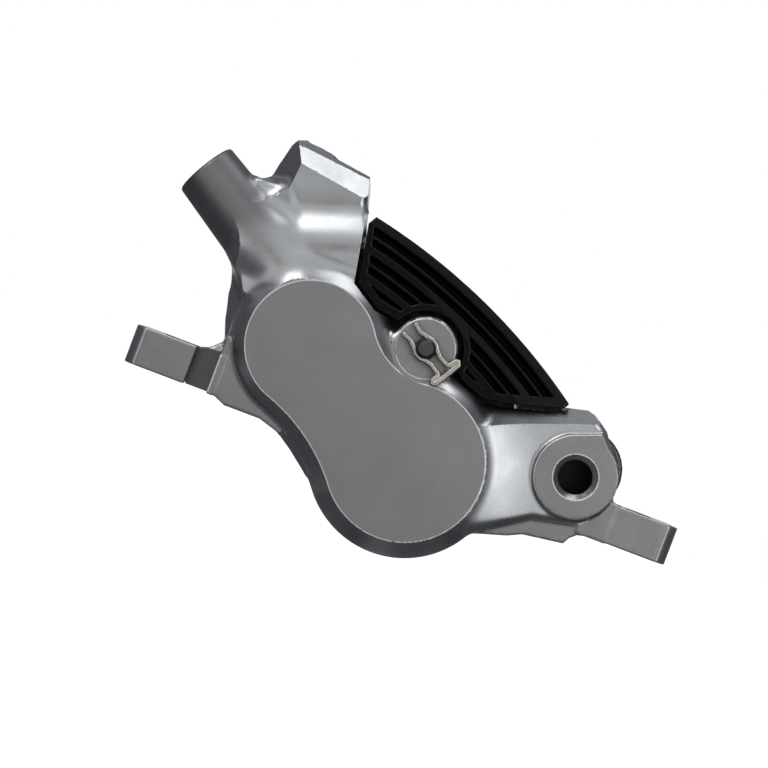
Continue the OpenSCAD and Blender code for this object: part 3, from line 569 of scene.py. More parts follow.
# The snap retainer's wire, from one leg's tip round the pull loop to the other's
WIRE = [(-3.68, 1.15), (-2.35, 0.95), (-1.1, 1.3), (-0.3, 1.62), (0.5, 1.6), (1.4, 1.15), (2.5, 0.85),
        (4.0, 0.95), (4.3, 1.2), (4.33, 2.2), (4.68, 2.5), (5.05, 2.2), (5.05, -2.2), (4.68, -2.5),
        (4.33, -2.2), (4.3, -1.2), (4.0, -0.95), (2.5, -0.85), (1.4, -1.15), (0.5, -1.6), (-0.3, -1.62),
        (-1.1, -1.3), (-2.35, -0.95), (-3.68, -1.15)]
WIRE_LOW, WIRE_HIGH = node_box("snap_retainer")
WIRE_Y = (WIRE_LOW[1] + WIRE_HIGH[1]) / 2
WIRE_R = (WIRE_HIGH[1] - WIRE_LOW[1]) / 2


def retainer_distance(x, y, z):
    """Signed distance from the snap retainer: one round wire with two legs and a folded pull loop"""
    u, w = tilted(x, z)
    beside = np.maximum(line_distance(u - AXLE_C[0], w - AXLE_C[1], WIRE) - 0.1, 0)
    return np.hypot(beside, y - WIRE_Y) - WIRE_R


# Where the machined flats end, and how much painted shade the narrow places get
FLAT_SLACK = 0.2
FLAT_WEIGHT = 3
EAR_FLAT_X = 30.5
EAR_FLAT_TIP = 1.6
LEFT_FLAT_END = -17.0
SATIN_SKIN = (0.45, 0.4)
SATIN_END = -24.0
SATIN_FADE = 5
PORT_SHADE = 0.97
GROOVE_SHADE = 0.72
WINDOW_SHADE = 0.85


def before(y, at):
    """How far a point lies in front of the depth at, weighted so that the outline decides first"""
    return FLAT_WEIGHT * (at + FLAT_SLACK - y)


def machined_flats(x, y, z):
    """How far inside a bead-blasted flat a point lies, in millimetres"""
    u, w = tilted(x, z)
    face = np.minimum(-face_outline(u, w), before(y, FACE_Y))
    hole = np.hypot(x - PORT_AT[0], z - PORT_AT[1]) - PORT_R - PORT_SINK
    port = np.minimum(np.minimum(-port_outline(x, z), hole), before(y, PORT_Y))
    boss = np.minimum(-disc(u, w, AXLE_C, DISC_R), before(y, BOSS_Y))
    ear = np.minimum(np.minimum(z, EAR_T - z), np.abs(x) - EAR_FLAT_X)
    ear = np.minimum(np.minimum(ear, EAR_TIP - EAR_FLAT_TIP - np.abs(x)), before(y, EAR_FRONT))
    left = np.minimum(-outline(x, z, LEFT_PLATE), LEFT_FLAT_END - x)
    flange = np.maximum(left, -outline(x, z, RIGHT_PLATE))
    flange = np.minimum(flange, FLAT_WEIGHT * (FLAT_SLACK - np.abs(y - EAR_FRONT)))
    flat = np.maximum(np.maximum(face, port), np.maximum(np.maximum(boss, ear), flange))
    return np.clip(flat, -1, 1)


def tube_satin(x, y, z):
    """1 on the bleed tube, which keeps its coarser turned finish, fading out into the body"""
    u, w = tilted(x, z)
    on_tube = np.clip((SATIN_SKIN[0] - np.abs(bleed_tube(u, w, y))) / SATIN_SKIN[1], 0, 1)
    return on_tube * np.clip((SATIN_END - u) / SATIN_FADE, 0, 1)


def painted_recess_shade(x, y, z):
    """Painted shade where little light gets in: the hose port, the left ear's groove and the slot behind the
    fins
    """
    u, w = tilted(x, z)
    in_port = np.hypot(x - PORT_AT[0], z - PORT_AT[1]) < PORT_R + 0.3
    in_groove = (x > EAR_GROOVE[0] - 0.25) & (x < EAR_GROOVE[1] + 0.25) & (z < EAR_T + 0.5)
    in_groove = in_groove & (y > -6.0) & (y < -2.5)
    at_window = outline(u, w, FIN_WINDOW) < 0.12
    behind_fins = WINDOW_SHADE * at_window * np.clip((y - FACE_Y - 3.6) / 1.0, 0, 1)
    elsewhere = np.maximum(GROOVE_SHADE * in_groove, behind_fins)
    return np.where(in_port, np.clip((y - PORT_Y - 0.9) / 1.2, 0, PORT_SHADE), elsewhere)


def skin(field, low, high, step):
    """Mesh round the surface where a distance field is zero, with its corners on the creases"""
    count = np.ceil((high - low) / step).astype(int) + 1
    xs, ys, zs = (low[i] + step * np.arange(count[i]) for i in range(3))
    d = field(xs[:, None, None], ys[None, :, None], zs[None, None, :])
    d = np.broadcast_to(d, tuple(count))
    points, cells, flips = [], [], []
    for axis in range(3):
        e = np.zeros(3, int)
        e[axis] = 1
        near = d[tuple(slice(0, count[i] - e[i]) for i in range(3))]
        far = d[tuple(slice(e[i], count[i]) for i in range(3))]
        at = np.argwhere((near < 0) != (far < 0))
        a = near[tuple(at.T)]
        b = far[tuple(at.T)]
        t0, t1 = np.zeros(len(at)), np.ones(len(at))
        start = low + step * at
        for _ in range(4):
            t = t0 + (t1 - t0) * a / (a - b)
            p = start + step * t[:, None] * e
            m = field(p[:, 0], p[:, 1], p[:, 2])
            same = (m < 0) == (a < 0)
            t0, a = np.where(same, t, t0), np.where(same, m, a)
            t1, b = np.where(same, t1, t), np.where(same, b, m)
        points.append(p)
        side, other = np.zeros(3, int), np.zeros(3, int)
        side[(axis + 1) % 3] = 1
        other[(axis + 2) % 3] = 1
        ring = [at, at - side, at - side - other, at - other]
        cells.append(np.stack([np.ravel_multi_index(tuple(c.T), tuple(count)) for c in ring], axis=1))
        flips.append(near[tuple(at.T)] > 0)
    points, cells, flips = np.concatenate(points), np.concatenate(cells), np.concatenate(flips)
    normals = slopes(field, points, 0.01)
    names, corner = np.unique(cells.ravel(), return_inverse=True)
    corner = corner.reshape(cells.shape)
    owner = corner.ravel()
    p4, n4 = np.repeat(points, 4, axis=0), np.repeat(normals, 4, axis=0)
    total = np.bincount(owner)
    mean = np.stack([np.bincount(owner, p4[:, i]) for i in range(3)], axis=1) / total[:, None]
    push = (n4 * (p4 - mean[owner])).sum(axis=1)
    ata = np.empty((len(names), 3, 3))
    atb = np.empty((len(names), 3))
    for i in range(3):
        atb[:, i] = np.bincount(owner, n4[:, i] * push)
        for j in range(3):
            ata[:, i, j] = np.bincount(owner, n4[:, i] * n4[:, j])
    ata += 0.03 * total[:, None, None] * np.eye(3)
    shift = np.linalg.solve(ata, atb[:, :, None])[:, :, 0]
    base = low + step * np.stack(np.unravel_index(names, tuple(count)), axis=1)
    verts = np.clip(mean + shift, base - 0.02 * step, base + 1.02 * step)
    quads = np.where(flips[:, None], corner[:, ::-1], corner)
    lean = np.stack([np.bincount(owner, n4[:, i]) for i in range(3)], axis=1) / total[:, None]
    return relaxed(field, verts, quads, np.linalg.norm(lean, axis=1) > 0.995), quads


def relaxed(field, verts, quads, smooth):
    """Evens out the points along smooth surfaces and puts them back on the surface"""
    a = quads.ravel()
    b = np.roll(quads, -1, axis=1).ravel()
    ends, others = np.concatenate([a, b]), np.concatenate([b, a])
    count = np.bincount(ends, minlength=len(verts))
    for _ in range(3):
        centre = np.stack([np.bincount(ends, verts[others, i], len(verts)) for i in range(3)], axis=1)
        centre /= np.maximum(count, 1)[:, None]
        n = slopes(field, verts)
        step = centre - verts
        step -= (step * n).sum(axis=1, keepdims=True) * n
        moved = verts + 0.5 * step
        moved -= np.clip(field(*moved.T), -0.1, 0.1)[:, None] * n
        verts = np.where(smooth[:, None], moved, verts)
    return verts


def slopes(field, points, h=0.02):
    """Unit normals of a distance field at some points, from its change over h each way"""
    grad = np.stack([
        field(*(points + h * e).T) - field(*(points - h * e).T) for e in np.eye(3)], axis=1)
    return grad / np.maximum(np.linalg.norm(grad, axis=1, keepdims=True), 1e-9)


def forged_piece(name, field, low, high, step):
    """New object round a distance field, shaded with the field's own normals"""
    verts, quads = skin(field, low - 2.3 * step, high + 2.3 * step, step)
    verts = np.clip(verts, low, high)
    mesh = bpy.data.meshes.new(name)
    mesh.vertices.add(len(verts))
    mesh.vertices.foreach_set("co", (verts * MM).ravel())
    mesh.loops.add(quads.size)
    mesh.loops.foreach_set("vertex_index", quads.ravel())
    mesh.polygons.add(len(quads))
    mesh.polygons.foreach_set("loop_start", np.arange(0, quads.size, 4))
    mesh.update(calc_edges=True)
    merged = bmesh.new()
    merged.from_mesh(mesh)
    bmesh.ops.remove_doubles(merged, verts=merged.verts, dist=0.28 * step * MM)
    merged.to_mesh(mesh)
    merged.free()
    mesh.polygons.foreach_set("use_smooth", np.ones(len(mesh.polygons), bool))
    verts = numbers(mesh.vertices, "co", 3) / MM
    sides = numbers(mesh.polygons, "loop_total", 1)[:, 0].astype(int)
    centre = np.repeat(numbers(mesh.polygons, "center", 3) / MM, sides, axis=0)
    flat = np.repeat(numbers(mesh.polygons, "normal", 3), sides, axis=0)
    corners = verts[numbers(mesh.loops, "vertex_index", 1)[:, 0].astype(int)]
    normals = slopes(field, 0.75 * corners + 0.25 * centre)
    away = (normals * flat).sum(axis=1) < 0.2
    normals[away] = flat[away]
    mesh.normals_split_custom_set(normals.tolist())
    obj = bpy.data.objects.new(name, mesh)
    bpy.context.scene.collection.objects.link(obj)
    return obj, verts


def numbers(items, key, width):
    """One row of numbers for each item of a mesh"""
    values = np.zeros(len(items) * width, np.int32 if key in ("loop_total", "vertex_index") else np.float32)
    items.foreach_get(key, values)
    return values.reshape(-1, width)


def note_points(obj, name, values):
    """Keeps one number for each point of a mesh, for its material"""
    layer = obj.data.attributes.new(name, "FLOAT", "POINT")
    layer.data.foreach_set("value", np.asarray(values, dtype=np.float32))


class Finish:
    """Node material that is built up step by step on a Principled shader"""

    def __init__(self, name, metallic, roughness):
        self.mat = bpy.data.materials.new(name)
        self.mat.use_nodes = True
        self.tree = self.mat.node_tree
        self.shader = self.tree.nodes["Principled BSDF"]
        self.shader.inputs["Metallic"].default_value = metallic
        self.shader.inputs["Roughness"].default_value = roughness
        self.place = self.tree.nodes.new("ShaderNodeTexCoord").outputs["Object"]

    def node(self, kind, **settings):
        """New node with some of its settings"""
        node = self.tree.nodes.new(kind)
        for key, value in settings.items():
            setattr(node, key, value)
        return node

    def link(self, a, b):
        """Joins an output to an input"""
        self.tree.links.new(a, b)

    def noise(self, size, detail=3.0):
        """Noise whose grains are about size metres across"""
        mapping = self.node("ShaderNodeMapping")
        mapping.inputs["Scale"].default_value = [1 / size] * 3
        self.link(self.place, mapping.inputs["Vector"])
        noise = self.node("ShaderNodeTexNoise")
        noise.inputs["Scale"].default_value = 1.0
        noise.inputs["Detail"].default_value = detail
        self.link(mapping.outputs["Vector"], noise.inputs["Vector"])
        return noise.outputs["Fac"]

    def point_value(self, name):
        """Number kept for each point of the mesh"""
        return self.node("ShaderNodeAttribute", attribute_name=name).outputs["Fac"]

    def maths(self, kind, a, b):
        """Sum, product or the like of two values or sockets"""
        node = self.node("ShaderNodeMath", operation=kind)
        for value, socket in ((a, node.inputs[0]), (b, node.inputs[1])):
            if isinstance(value, (int, float)):
                socket.default_value = value
            else:
                self.link(value, socket)
        return node.outputs[0]

    def between(self, value, a, b, low=0.0, high=1.0):
        """A value taken from the range a to b into the range low to high"""
        node = self.node("ShaderNodeMapRange")
        node.inputs["From Min"].default_value = a
        node.inputs["From Max"].default_value = b
        node.inputs["To Min"].default_value = low
        node.inputs["To Max"].default_value = high
        self.link(value, node.inputs["Value"])
        return node.outputs["Result"]

    def ramp(self, value, stops):
        """Colour read from a row of stops"""
        ramp = self.node("ShaderNodeValToRGB").color_ramp
        node = self.tree.nodes[-1]
        ramp.elements[0].position, ramp.elements[0].color = stops[0][0], (*stops[0][1], 1)
        ramp.elements[1].position, ramp.elements[1].color = stops[-1][0], (*stops[-1][1], 1)
        for position, colour in stops[1:-1]:
            ramp.elements.new(position).color = (*colour, 1)
        self.link(value, node.inputs["Fac"])
        return node.outputs["Color"]

    def spread(self, value, low, high):
        """A noise value stretched between two numbers"""
        return self.between(value, 0.3, 0.7, low, high)

    def edges(self, radius, low=0.02, high=0.3):
        """Bevelled normal, and a mask that is 1 on the edges, where wear and a painted edge highlight go"""
        bevel = self.node("ShaderNodeBevel", samples=6)
        bevel.inputs["Radius"].default_value = radius
        plain = self.node("ShaderNodeNewGeometry")
        dot = self.node("ShaderNodeVectorMath", operation="DOT_PRODUCT")
        self.link(bevel.outputs["Normal"], dot.inputs[0])
        self.link(plain.outputs["Normal"], dot.inputs[1])
        return bevel.outputs["Normal"], self.between(dot.outputs["Value"], 1 - low, 1 - high)

    def colour(self, value, a, b, edge=None, edge_colour=None):
        """Colour from a to b by value, and edge_colour on the edges, for wear and for a painted edge
        highlight
        """
        base = self.ramp(value, [(0.3, a), (0.7, b)])
        if edge is not None:
            mix = self.node("ShaderNodeMix", data_type="RGBA")
            self.link(edge, mix.inputs["Factor"])
            self.link(base, mix.inputs["A"])
            mix.inputs["B"].default_value = (*edge_colour, 1)
            base = mix.outputs["Result"]
        self.link(base, self.shader.inputs["Base Color"])

    def bump(self, value, height, normal=None):
        """Fine relief of some height in metres"""
        bump = self.node("ShaderNodeBump")
        bump.inputs["Distance"].default_value = height
        bump.inputs["Strength"].default_value = 1.0
        self.link(value, bump.inputs["Height"])
        if normal is not None:
            self.link(normal, bump.inputs["Normal"])
        self.link(bump.outputs["Normal"], self.shader.inputs["Normal"])

    def roughness(self, value):
        """Roughness that changes over the surface"""
        self.link(value, self.shader.inputs["Roughness"])


def grey(value, tint=0.0):
    """Neutral colour with a slight cool (positive) or warm (negative) tint"""
    return (value * (1 - tint), value, value * (1 + tint))


# Painted highlight: how much brighter the polished rim round the machined flats is drawn
RIM_HIGHLIGHT_GAIN = 1.5
SATIN_SHADE = 0.58
SATIN_ROUGH = 0.46


def forged_metal(name, polished, blasted, cool=0.03, gloss=0.3, matt=0.5):
    """Tumbled forging whose machined flats are bead-blasted inside a polished turned rim, lit up by a
    painted highlight
    """
    f = Finish(name, 1.0, gloss)
    zone = f.between(f.point_value("flat"), -0.1, 0.3)
    # The rim between the polished body and a blasted flat is drawn brighter as a painted highlight, where
    # its small chamfer catches the light
    bright = grey(min(polished * RIM_HIGHLIGHT_GAIN, 0.9))
    colour = f.ramp(zone, [(0.0, grey(polished, cool)), (0.14, grey(polished, cool)), (0.22, bright),
                           (0.55, bright), (0.7, grey(blasted)), (1.0, grey(blasted))])
    speckle = f.noise(0.0003, 2.0)
    streak = f.noise(0.007, 4.0)
    satin = f.point_value("satin")
    both = f.maths("ADD", f.spread(speckle, -0.05, 0.05), f.spread(streak, 0.95, 1.05))
    # Painted shade from the bore values darkens the hollows; the satin values give the tube its darker,
    # coarser finish
    shade = f.maths("MAXIMUM", f.point_value("bore"), f.maths("MULTIPLY", satin, SATIN_SHADE))
    light = f.maths("MULTIPLY", both, f.maths("SUBTRACT", 1.0, shade))
    mix = f.node("ShaderNodeMix", data_type="RGBA", blend_type="MULTIPLY")
    mix.inputs["Factor"].default_value = 1.0
    f.link(colour, mix.inputs["A"])
    f.link(light, mix.inputs["B"])
    f.link(mix.outputs["Result"], f.shader.inputs["Base Color"])
    wave = f.spread(f.noise(0.003, 4.0), -0.04, 0.04)
    blasted_rough = f.between(zone, 0.05, 0.22, gloss, matt)
    rough = f.maths("MAXIMUM", blasted_rough, f.between(satin, 0.0, 1.0, gloss, SATIN_ROUGH))
    f.roughness(f.maths("ADD", rough, wave))
    f.bump(speckle, 0.000004)
    return f.mat


def steel(name, base, tint=0.0, rough=0.3, grain=0.0004):
    """Turned or drawn steel"""
    f = Finish(name, 1.0, rough)
    normal, mask = f.edges(0.0001)
    fine = f.noise(grain, 4.0)
    # Lighter edges: partly wear of the steel, partly a painted highlight
    f.colour(fine, grey(base * 0.85, tint), grey(base * 1.15, tint), mask, grey(min(base * 1.6, 0.95), tint))
    f.roughness(f.spread(f.noise(0.001, 3.0), rough * 0.8, rough * 1.25))
    f.bump(fine, 0.000003, normal)
    return f.mat


def gloss_black(name):
    """Glossy black baked coating of the cooling fins"""
    f = Finish(name, 0.0, 0.16)
    normal, mask = f.edges(0.00015)
    fine = f.noise(0.0008, 3.0)
    # Lighter edges of the black coating are a painted highlight on the rib edges
    f.colour(fine, grey(0.003), grey(0.005), mask, grey(0.04))
    f.roughness(f.spread(f.noise(0.002, 4.0), 0.08, 0.18))
    f.bump(f.noise(0.0015, 2.0), 0.00001, normal)
    f.shader.inputs["Specular IOR Level"].default_value = 0.1
    return f.mat


def moulded(name, a, b, rough, grain=0.0004, depth=0.00001):
    """Moulded or pressed material, from rubber to friction lining"""
    f = Finish(name, 0.0, rough)
    normal = f.edges(0.00012)[0]
    f.colour(f.noise(grain, 4.0), a, b)
    f.roughness(f.spread(f.noise(0.001, 3.0), rough * 0.9, min(rough * 1.1, 1.0)))
    f.bump(f.noise(grain, 3.0), depth, normal)
    return f.mat


def dress(obj, *mats):
    """Sets the object's materials"""
    obj.data.materials.clear()
    for mat in mats:
        obj.data.materials.append(mat)


def step_size(name, description, default, low=0.0002, high=0.002):
    """Setting for the distance between the points of a skin, in metres"""
    return bpy.props.FloatProperty(
        name=name, description=description, default=default, min=low, max=high, unit="LENGTH",
        subtype="DISTANCE")


def grey_level(name, description, default):
    """Setting for how much light a metal reflects"""
    return bpy.props.FloatProperty(
        name=name, description=description, default=default, min=0.02, max=0.95, subtype="FACTOR")


class CaliperSizes(bpy.types.PropertyGroup):
    skin_step: step_size("Skin step", "Distance between the points of the near half's skin", 0.00036)
    far_step: step_size("Far skin step", "Distance between the points of the far half's skin", 0.0006)
    fin_step: step_size("Fin step", "Distance between the points of the cooling blocks", 0.0003)
    wire_step: step_size("Wire step", "Distance between the points of the snap retainer", 0.0001, 0.00005,
                         0.0005)


class CaliperColours(bpy.types.PropertyGroup):
    body: grey_level("Body grey", "Reflectance of the polished forging", 0.33)
    face: grey_level("Face grey", "Reflectance of the bead-blasted faces", 0.2)
    far_half: grey_level("Far half grey", "Reflectance of the far half", 0.34)


def sizes():
    """Sizes set in the panel"""
    return bpy.context.scene.caliper_sizes


def colours():
    """Colours set in the panel"""
    return bpy.context.scene.caliper_colours


CAMERA_ROLL = math.radians(20.75)
CAMERA_ANGLE = math.radians(22.55)
CAMERA_AT = (-5.69, -299.0, 10.73)


class CALIPER_OT_camera(bpy.types.Operator):
    """Places the camera square to the outer face, rolled as in the photograph"""
    bl_idname = "caliper.camera"
    bl_label = "Camera"

    def execute(self, context):
        cam = bpy.data.objects.new("camera", bpy.data.cameras.new("camera"))
        cam.data.sensor_fit = "HORIZONTAL"
        cam.data.angle = CAMERA_ANGLE
        cam.data.clip_start = 0.01
        right = Vector((math.cos(CAMERA_ROLL), 0, math.sin(CAMERA_ROLL)))
        up = Vector((-math.sin(CAMERA_ROLL), 0, math.cos(CAMERA_ROLL)))
        back = Vector((0, -1, 0))
        turn = Matrix((right, up, back)).transposed().to_4x4()
        cam.matrix_world = Matrix.Translation(Vector(CAMERA_AT) * MM) @ turn
        context.scene.collection.objects.link(cam)
        context.scene.camera = cam
        return {"FINISHED"}


# The studio, in metres, and the brightness of the flags in the tunnel
FLOOR_LOW = -0.085
FLOOR_HALF = 3.0
MIDDLE_AT = (-0.004, 0.0, 0.013)
TUNNEL_R = 0.34
TUNNEL_NEAR, TUNNEL_FAR = -0.24, 0.8
FLAG_HALF = 0.13
FLAG_Y = -0.62
FLAG_GREYS = [(0.16, 0.16, 0.18), (0.09, 0.09, 0.097), (0.26, 0.26, 0.285), (0.12, 0.12, 0.13)]
TUNNEL_SHADES = [1.2, 1.0, 1.3, 1.6, 2.2, 2.4, 2.0, 1.8, 2.4, 2.0, 1.5, 1.2, 1.0, 1.2, 1.0, 0.9,
                 0.8, 1.0, 0.8, 1.0, 0.8, 0.9, 1.0, 1.1]


def light_panel(name, at, aim, width, height, power):
    """Soft rectangular lamp aimed at a point, sizes in metres"""
    lamp = bpy.data.lights.new(name, "AREA")
    lamp.shape = "RECTANGLE"
    lamp.size, lamp.size_y = width, height
    lamp.energy = power
    obj = bpy.data.objects.new(name, lamp)
    obj.location = at
    obj.rotation_euler = (Vector(aim) - Vector(at)).to_track_quat("-Z", "Y").to_euler()
    obj.visible_camera = False
    bpy.context.scene.collection.objects.link(obj)


def glow_shade(name, shade):
    """Even glow of one brightness, for flags and reflectors"""
    mat = bpy.data.materials.new(name)
    mat.use_nodes = True
    shader = mat.node_tree.nodes["Principled BSDF"]
    shader.inputs["Base Color"].default_value = (0, 0, 0, 1)
    shader.inputs["Specular IOR Level"].default_value = 0.0
    shader.inputs["Emission Color"].default_value = (*shade, 1)
    shader.inputs["Emission Strength"].default_value = 1.0
    return mat


def unseen(name, verts, faces, shades):
    """Studio flag that shows only in reflections: it casts no shadow and gives no light"""
    mesh = bpy.data.meshes.new(name)
    mesh.from_pydata(verts, [], faces)
    for i, shade in enumerate(shades):
        mesh.materials.append(glow_shade(f"{name}_{i}", shade))
    mesh.polygons.foreach_set("material_index", [i % len(shades) for i in range(len(faces))])
    obj = bpy.data.objects.new(name, mesh)
    bpy.context.scene.collection.objects.link(obj)
    obj.visible_camera = False
    obj.visible_shadow = False
    obj.visible_diffuse = False


def square(half, at):
    """Corners of a square that faces the camera at depth at"""
    return [(-half, at, -half), (half, at, -half), (half, at, half), (-half, at, half)]


def flag_tunnel(middle, radius, near, far, floor, shades):
    """Tunnel of grey flags round the part, open towards the camera and behind"""
    verts, faces = [], []
    count = len(shades)
    for y in (near, far):
        for i in range(count):
            turn = 2 * math.pi * i / count
            dx, dz = math.cos(turn), math.sin(turn)
            r = radius if dz > -0.2 else min(radius, (middle[2] - floor) / -dz)
            verts.append((middle[0] + r * dx, middle[1] + y, middle[2] + r * dz))
    for i in range(count):
        j = (i + 1) % count
        faces.append((i, j, count + j, count + i))
    unseen("flag_tunnel", verts, faces, shades)


def seen_white(tree, low, high, socket):
    """Sets a strength that is high to the camera and in mirrors, and low in diffuse light"""
    nodes, links = tree.nodes, tree.links
    path = nodes.new("ShaderNodeLightPath")
    seen = path.outputs["Is Camera Ray"]
    for ray in ("Is Glossy Ray", "Is Transmission Ray"):
        either = nodes.new("ShaderNodeMath")
        either.operation = "MAXIMUM"
        links.new(seen, either.inputs[0])
        links.new(path.outputs[ray], either.inputs[1])
        seen = either.outputs[0]
    level = nodes.new("ShaderNodeMapRange")
    level.inputs["To Min"].default_value = low
    level.inputs["To Max"].default_value = high
    links.new(seen, level.inputs["Value"])
    links.new(level.outputs["Result"], socket)


class CALIPER_OT_stage(bpy.types.Operator):
    """Builds the pale floor, the white surround, the flags and the soft lamps"""
    bl_idname = "caliper.stage"
    bl_label = "Stage"

    def execute(self, context):
        scene = context.scene
        scene.view_settings.view_transform = "Standard"
        world = bpy.data.worlds.new("surround")
        scene.world = world
        world.use_nodes = True
        back = world.node_tree.nodes["Background"]
        back.inputs["Color"].default_value = (1, 1, 1, 1)
        seen_white(world.node_tree, 0.35, 1.0, back.inputs["Strength"])

        size, low = FLOOR_HALF, FLOOR_LOW
        mesh = bpy.data.meshes.new("floor")
        mesh.from_pydata([(-size, -size, low), (size, -size, low), (size, size, low), (-size, size, low)],
                         [], [(0, 1, 2, 3)])
        floor = bpy.data.objects.new("floor", mesh)
        scene.collection.objects.link(floor)
        mat = bpy.data.materials.new("floor_paper")
        mat.use_nodes = True
        shader = mat.node_tree.nodes["Principled BSDF"]
        shader.inputs["Base Color"].default_value = (0.9, 0.9, 0.9, 1)
        shader.inputs["Roughness"].default_value = 0.8
        shader.inputs["Emission Color"].default_value = (1, 1, 1, 1)
        seen_white(mat.node_tree, 0.0, 0.8, shader.inputs["Emission Strength"])
        mesh.materials.append(mat)

        light_panel("key_left", (-0.2, -0.2, 0.26), MIDDLE_AT, 0.16, 0.16, 0.5)
        light_panel("fill_right", (0.21, -0.34, 0.08), (0.02, -0.006, 0.008), 0.2, 0.2, 0.3)
        light_panel("top", (0.012, -0.041, 0.27), (-0.024, -0.005, 0.039), 0.15, 0.09, 0.15)
        shades = [tuple(c * k for c in FLAG_GREYS[i % 4]) for i, k in enumerate(TUNNEL_SHADES)]
        flag_tunnel(MIDDLE_AT, TUNNEL_R, TUNNEL_NEAR, TUNNEL_FAR, FLOOR_LOW + 0.004, shades)
        unseen("flag_front", square(FLAG_HALF, FLAG_Y), [(0, 1, 2, 3)], [(0.45, 0.45, 0.45)])
        return {"FINISHED"}


class CALIPER_OT_outboard_body(bpy.types.Operator):
    """Forges the near half: housing, bolt block, bleed tube, arm, hose port and ears in one skin"""
    bl_idname = "caliper.outboard_body"
    bl_label = "Near half"

    def execute(self, context):
        low, high = node_box("outboard_half")
        obj, verts = forged_piece("outboard_body", outboard_distance, low, high, sizes().skin_step / MM)
        note_points(obj, "flat", machined_flats(*verts.T))
        # The bore values are painted shade: deep in the hose port, in the left ear's groove and behind the
        # fins
        note_points(obj, "bore", painted_recess_shade(*verts.T))
        note_points(obj, "satin", tube_satin(*verts.T))
        dress(obj, forged_metal("forged_aluminium", colours().body, colours().face))
        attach(obj, "caliper")
        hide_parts("outboard_half")
        return {"FINISHED"}


class CALIPER_OT_inboard_body(bpy.types.Operator):
    """Forges the far half with its two bolt bosses"""
    bl_idname = "caliper.inboard_body"
    bl_label = "Far half"

    def execute(self, context):
        low, high = node_box("inboard_half")
        obj, verts = forged_piece("inboard_body", inboard_distance, low, high, sizes().far_step / MM)
        x, y, z = verts.T
        note_points(obj, "flat", machined_flats(x, 2 * JOINT_Y - y, z))
        # Painted shade on the far half, darkest on its joint face
        note_points(obj, "bore", np.clip((JOINT_Y + 0.7 - y) / 0.5, 0, 0.85))
        dress(obj, forged_metal("far_aluminium", colours().far_half, colours().far_half))
        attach(obj, "caliper")
        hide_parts("inboard_half")
        return {"FINISHED"}


class CALIPER_OT_fins(bpy.types.Operator):
    """Casts the cooling blocks of both pads"""
    bl_idname = "caliper.fins"
    bl_label = "Cooling fins"

    def execute(self, context):
        coat = gloss_black("black_coating")
        for side, field in (("outboard", outboard_fin_distance), ("inboard", inboard_fin_distance)):
            low, high = node_box(side + "_fins")
            obj = forged_piece(side + "_cooling_block", field, low, high, sizes().fin_step / MM)[0]
            dress(obj, coat)
            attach(obj, side + "_pad")
            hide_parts(side + "_fins")
        return {"FINISHED"}


class CALIPER_OT_retainer(bpy.types.Operator):
    """Bends the snap retainer that holds the pad axle"""
    bl_idname = "caliper.retainer"
    bl_label = "Snap retainer"

    def execute(self, context):
        step = sizes().wire_step / MM
        obj = forged_piece("bent_retainer", retainer_distance, WIRE_LOW, WIRE_HIGH, step)[0]
        dress(obj, steel("nickel_wire", 0.36, tint=-0.08, rough=0.3))
        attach(obj, "retainer")
        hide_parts("snap_retainer")
        return {"FINISHED"}


class CALIPER_OT_pad_spring(bpy.types.Operator):
    """Sheet spring between the pads, which is pressed together as the pads close; it is copied here as it
    stands, with a steel finish
    """
    bl_idname = "caliper.pad_spring"
    bl_label = "Pad spring"

    def execute(self, context):
        flat = bpy.data.objects["pad_spring"]
        obj = bpy.data.objects.new("pressed_spring", flat.data.copy())
        obj.matrix_world = flat.matrix_world.copy()
        bpy.context.scene.collection.objects.link(obj)
        dress(obj, steel("spring_sheet", 0.55, rough=0.25))
        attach(obj, "caliper")
        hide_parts("pad_spring")
        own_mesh(obj)
        return {"FINISHED"}


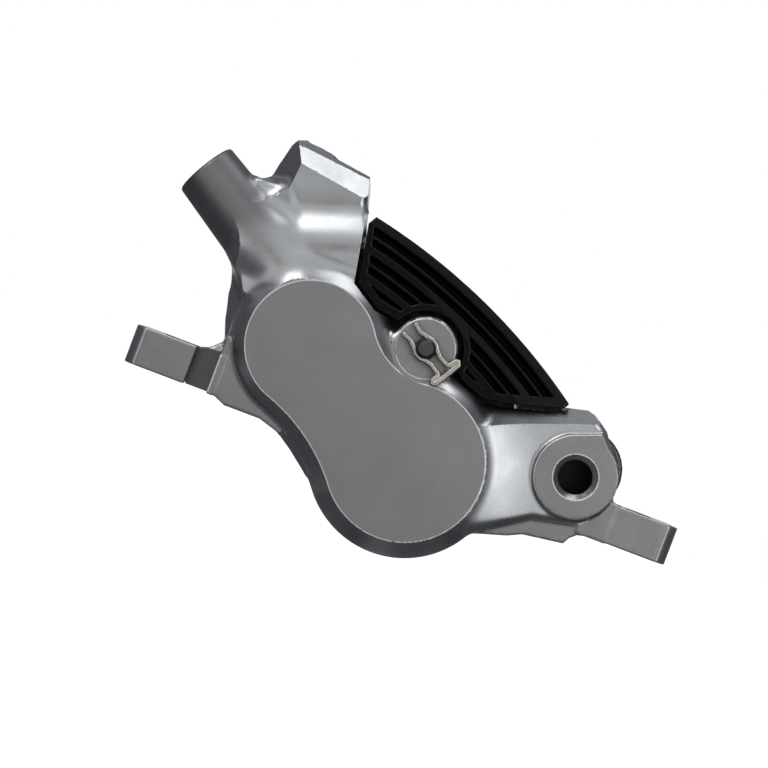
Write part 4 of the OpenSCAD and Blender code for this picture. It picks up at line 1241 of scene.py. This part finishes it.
class CALIPER_OT_small_parts(bpy.types.Operator):
    """Finishes the pieces that keep their own turned, stamped and moulded shapes"""
    bl_idname = "caliper.small_parts"
    bl_label = "Small parts"

    def execute(self, context):
        finishes = {
            ("body_bolts",): steel("blackened_bolt", 0.12, rough=0.4),
            ("passage_plugs",): steel("plug", 0.5),
            ("crossover_ring", "outboard_large_seal", "outboard_small_seal", "inboard_large_seal",
             "inboard_small_seal", "bleed_ring"): moulded("seal_rubber", grey(0.015), grey(0.03), 0.5),
            ("outboard_large_piston", "outboard_small_piston", "inboard_large_piston",
             "inboard_small_piston"): moulded("piston_resin", grey(0.62, -0.05), grey(0.72, -0.05), 0.4),
            ("outboard_backplate", "inboard_backplate"): steel("stamped_backplate", 0.06, rough=0.5),
            ("outboard_friction", "inboard_friction"): moulded(
                "friction_lining", (0.09, 0.07, 0.05), (0.22, 0.17, 0.12), 0.9, 0.0006, 0.00006),
            ("outboard_rivets", "inboard_rivets"): gloss_black("coated_rivet"),
            ("pad_axle",): steel("turned_axle", 0.07, rough=0.35),
            ("bleed_screw",): steel("screw", 0.45),
        }
        for names, mat in finishes.items():
            for name in names:
                dress(NODES[name], mat)
        return {"FINISHED"}


class CALIPER_PT_panel(bpy.types.Panel):
    """Caliper tools in the sidebar"""
    bl_idname = "CALIPER_PT_panel"
    bl_label = "Caliper"
    bl_space_type = "VIEW_3D"
    bl_region_type = "UI"
    bl_category = "Caliper"

    def draw(self, context):
        layout = self.layout
        for group in (context.scene.caliper_sizes, context.scene.caliper_colours):
            for name in group.__annotations__:
                layout.prop(group, name)
        for step in STEPS:
            layout.operator(step.bl_idname)


STEPS = (CALIPER_OT_camera, CALIPER_OT_stage, CALIPER_OT_outboard_body, CALIPER_OT_inboard_body,
         CALIPER_OT_fins, CALIPER_OT_retainer, CALIPER_OT_pad_spring, CALIPER_OT_small_parts)
CLASSES = (CaliperSizes, CaliperColours, *STEPS, CALIPER_PT_panel)


def register():
    for cls in CLASSES:
        bpy.utils.register_class(cls)
    bpy.types.Scene.caliper_sizes = bpy.props.PointerProperty(type=CaliperSizes)
    bpy.types.Scene.caliper_colours = bpy.props.PointerProperty(type=CaliperColours)


def unregister():
    del bpy.types.Scene.caliper_colours
    del bpy.types.Scene.caliper_sizes
    for cls in reversed(CLASSES):
        bpy.utils.unregister_class(cls)


def main():
    register()
    bpy.ops.caliper.camera()
    bpy.ops.caliper.stage()
    bpy.ops.caliper.outboard_body()
    bpy.ops.caliper.inboard_body()
    bpy.ops.caliper.fins()
    bpy.ops.caliper.retainer()
    bpy.ops.caliper.pad_spring()
    bpy.ops.caliper.small_parts()


if __name__ == "__main__":
    main()
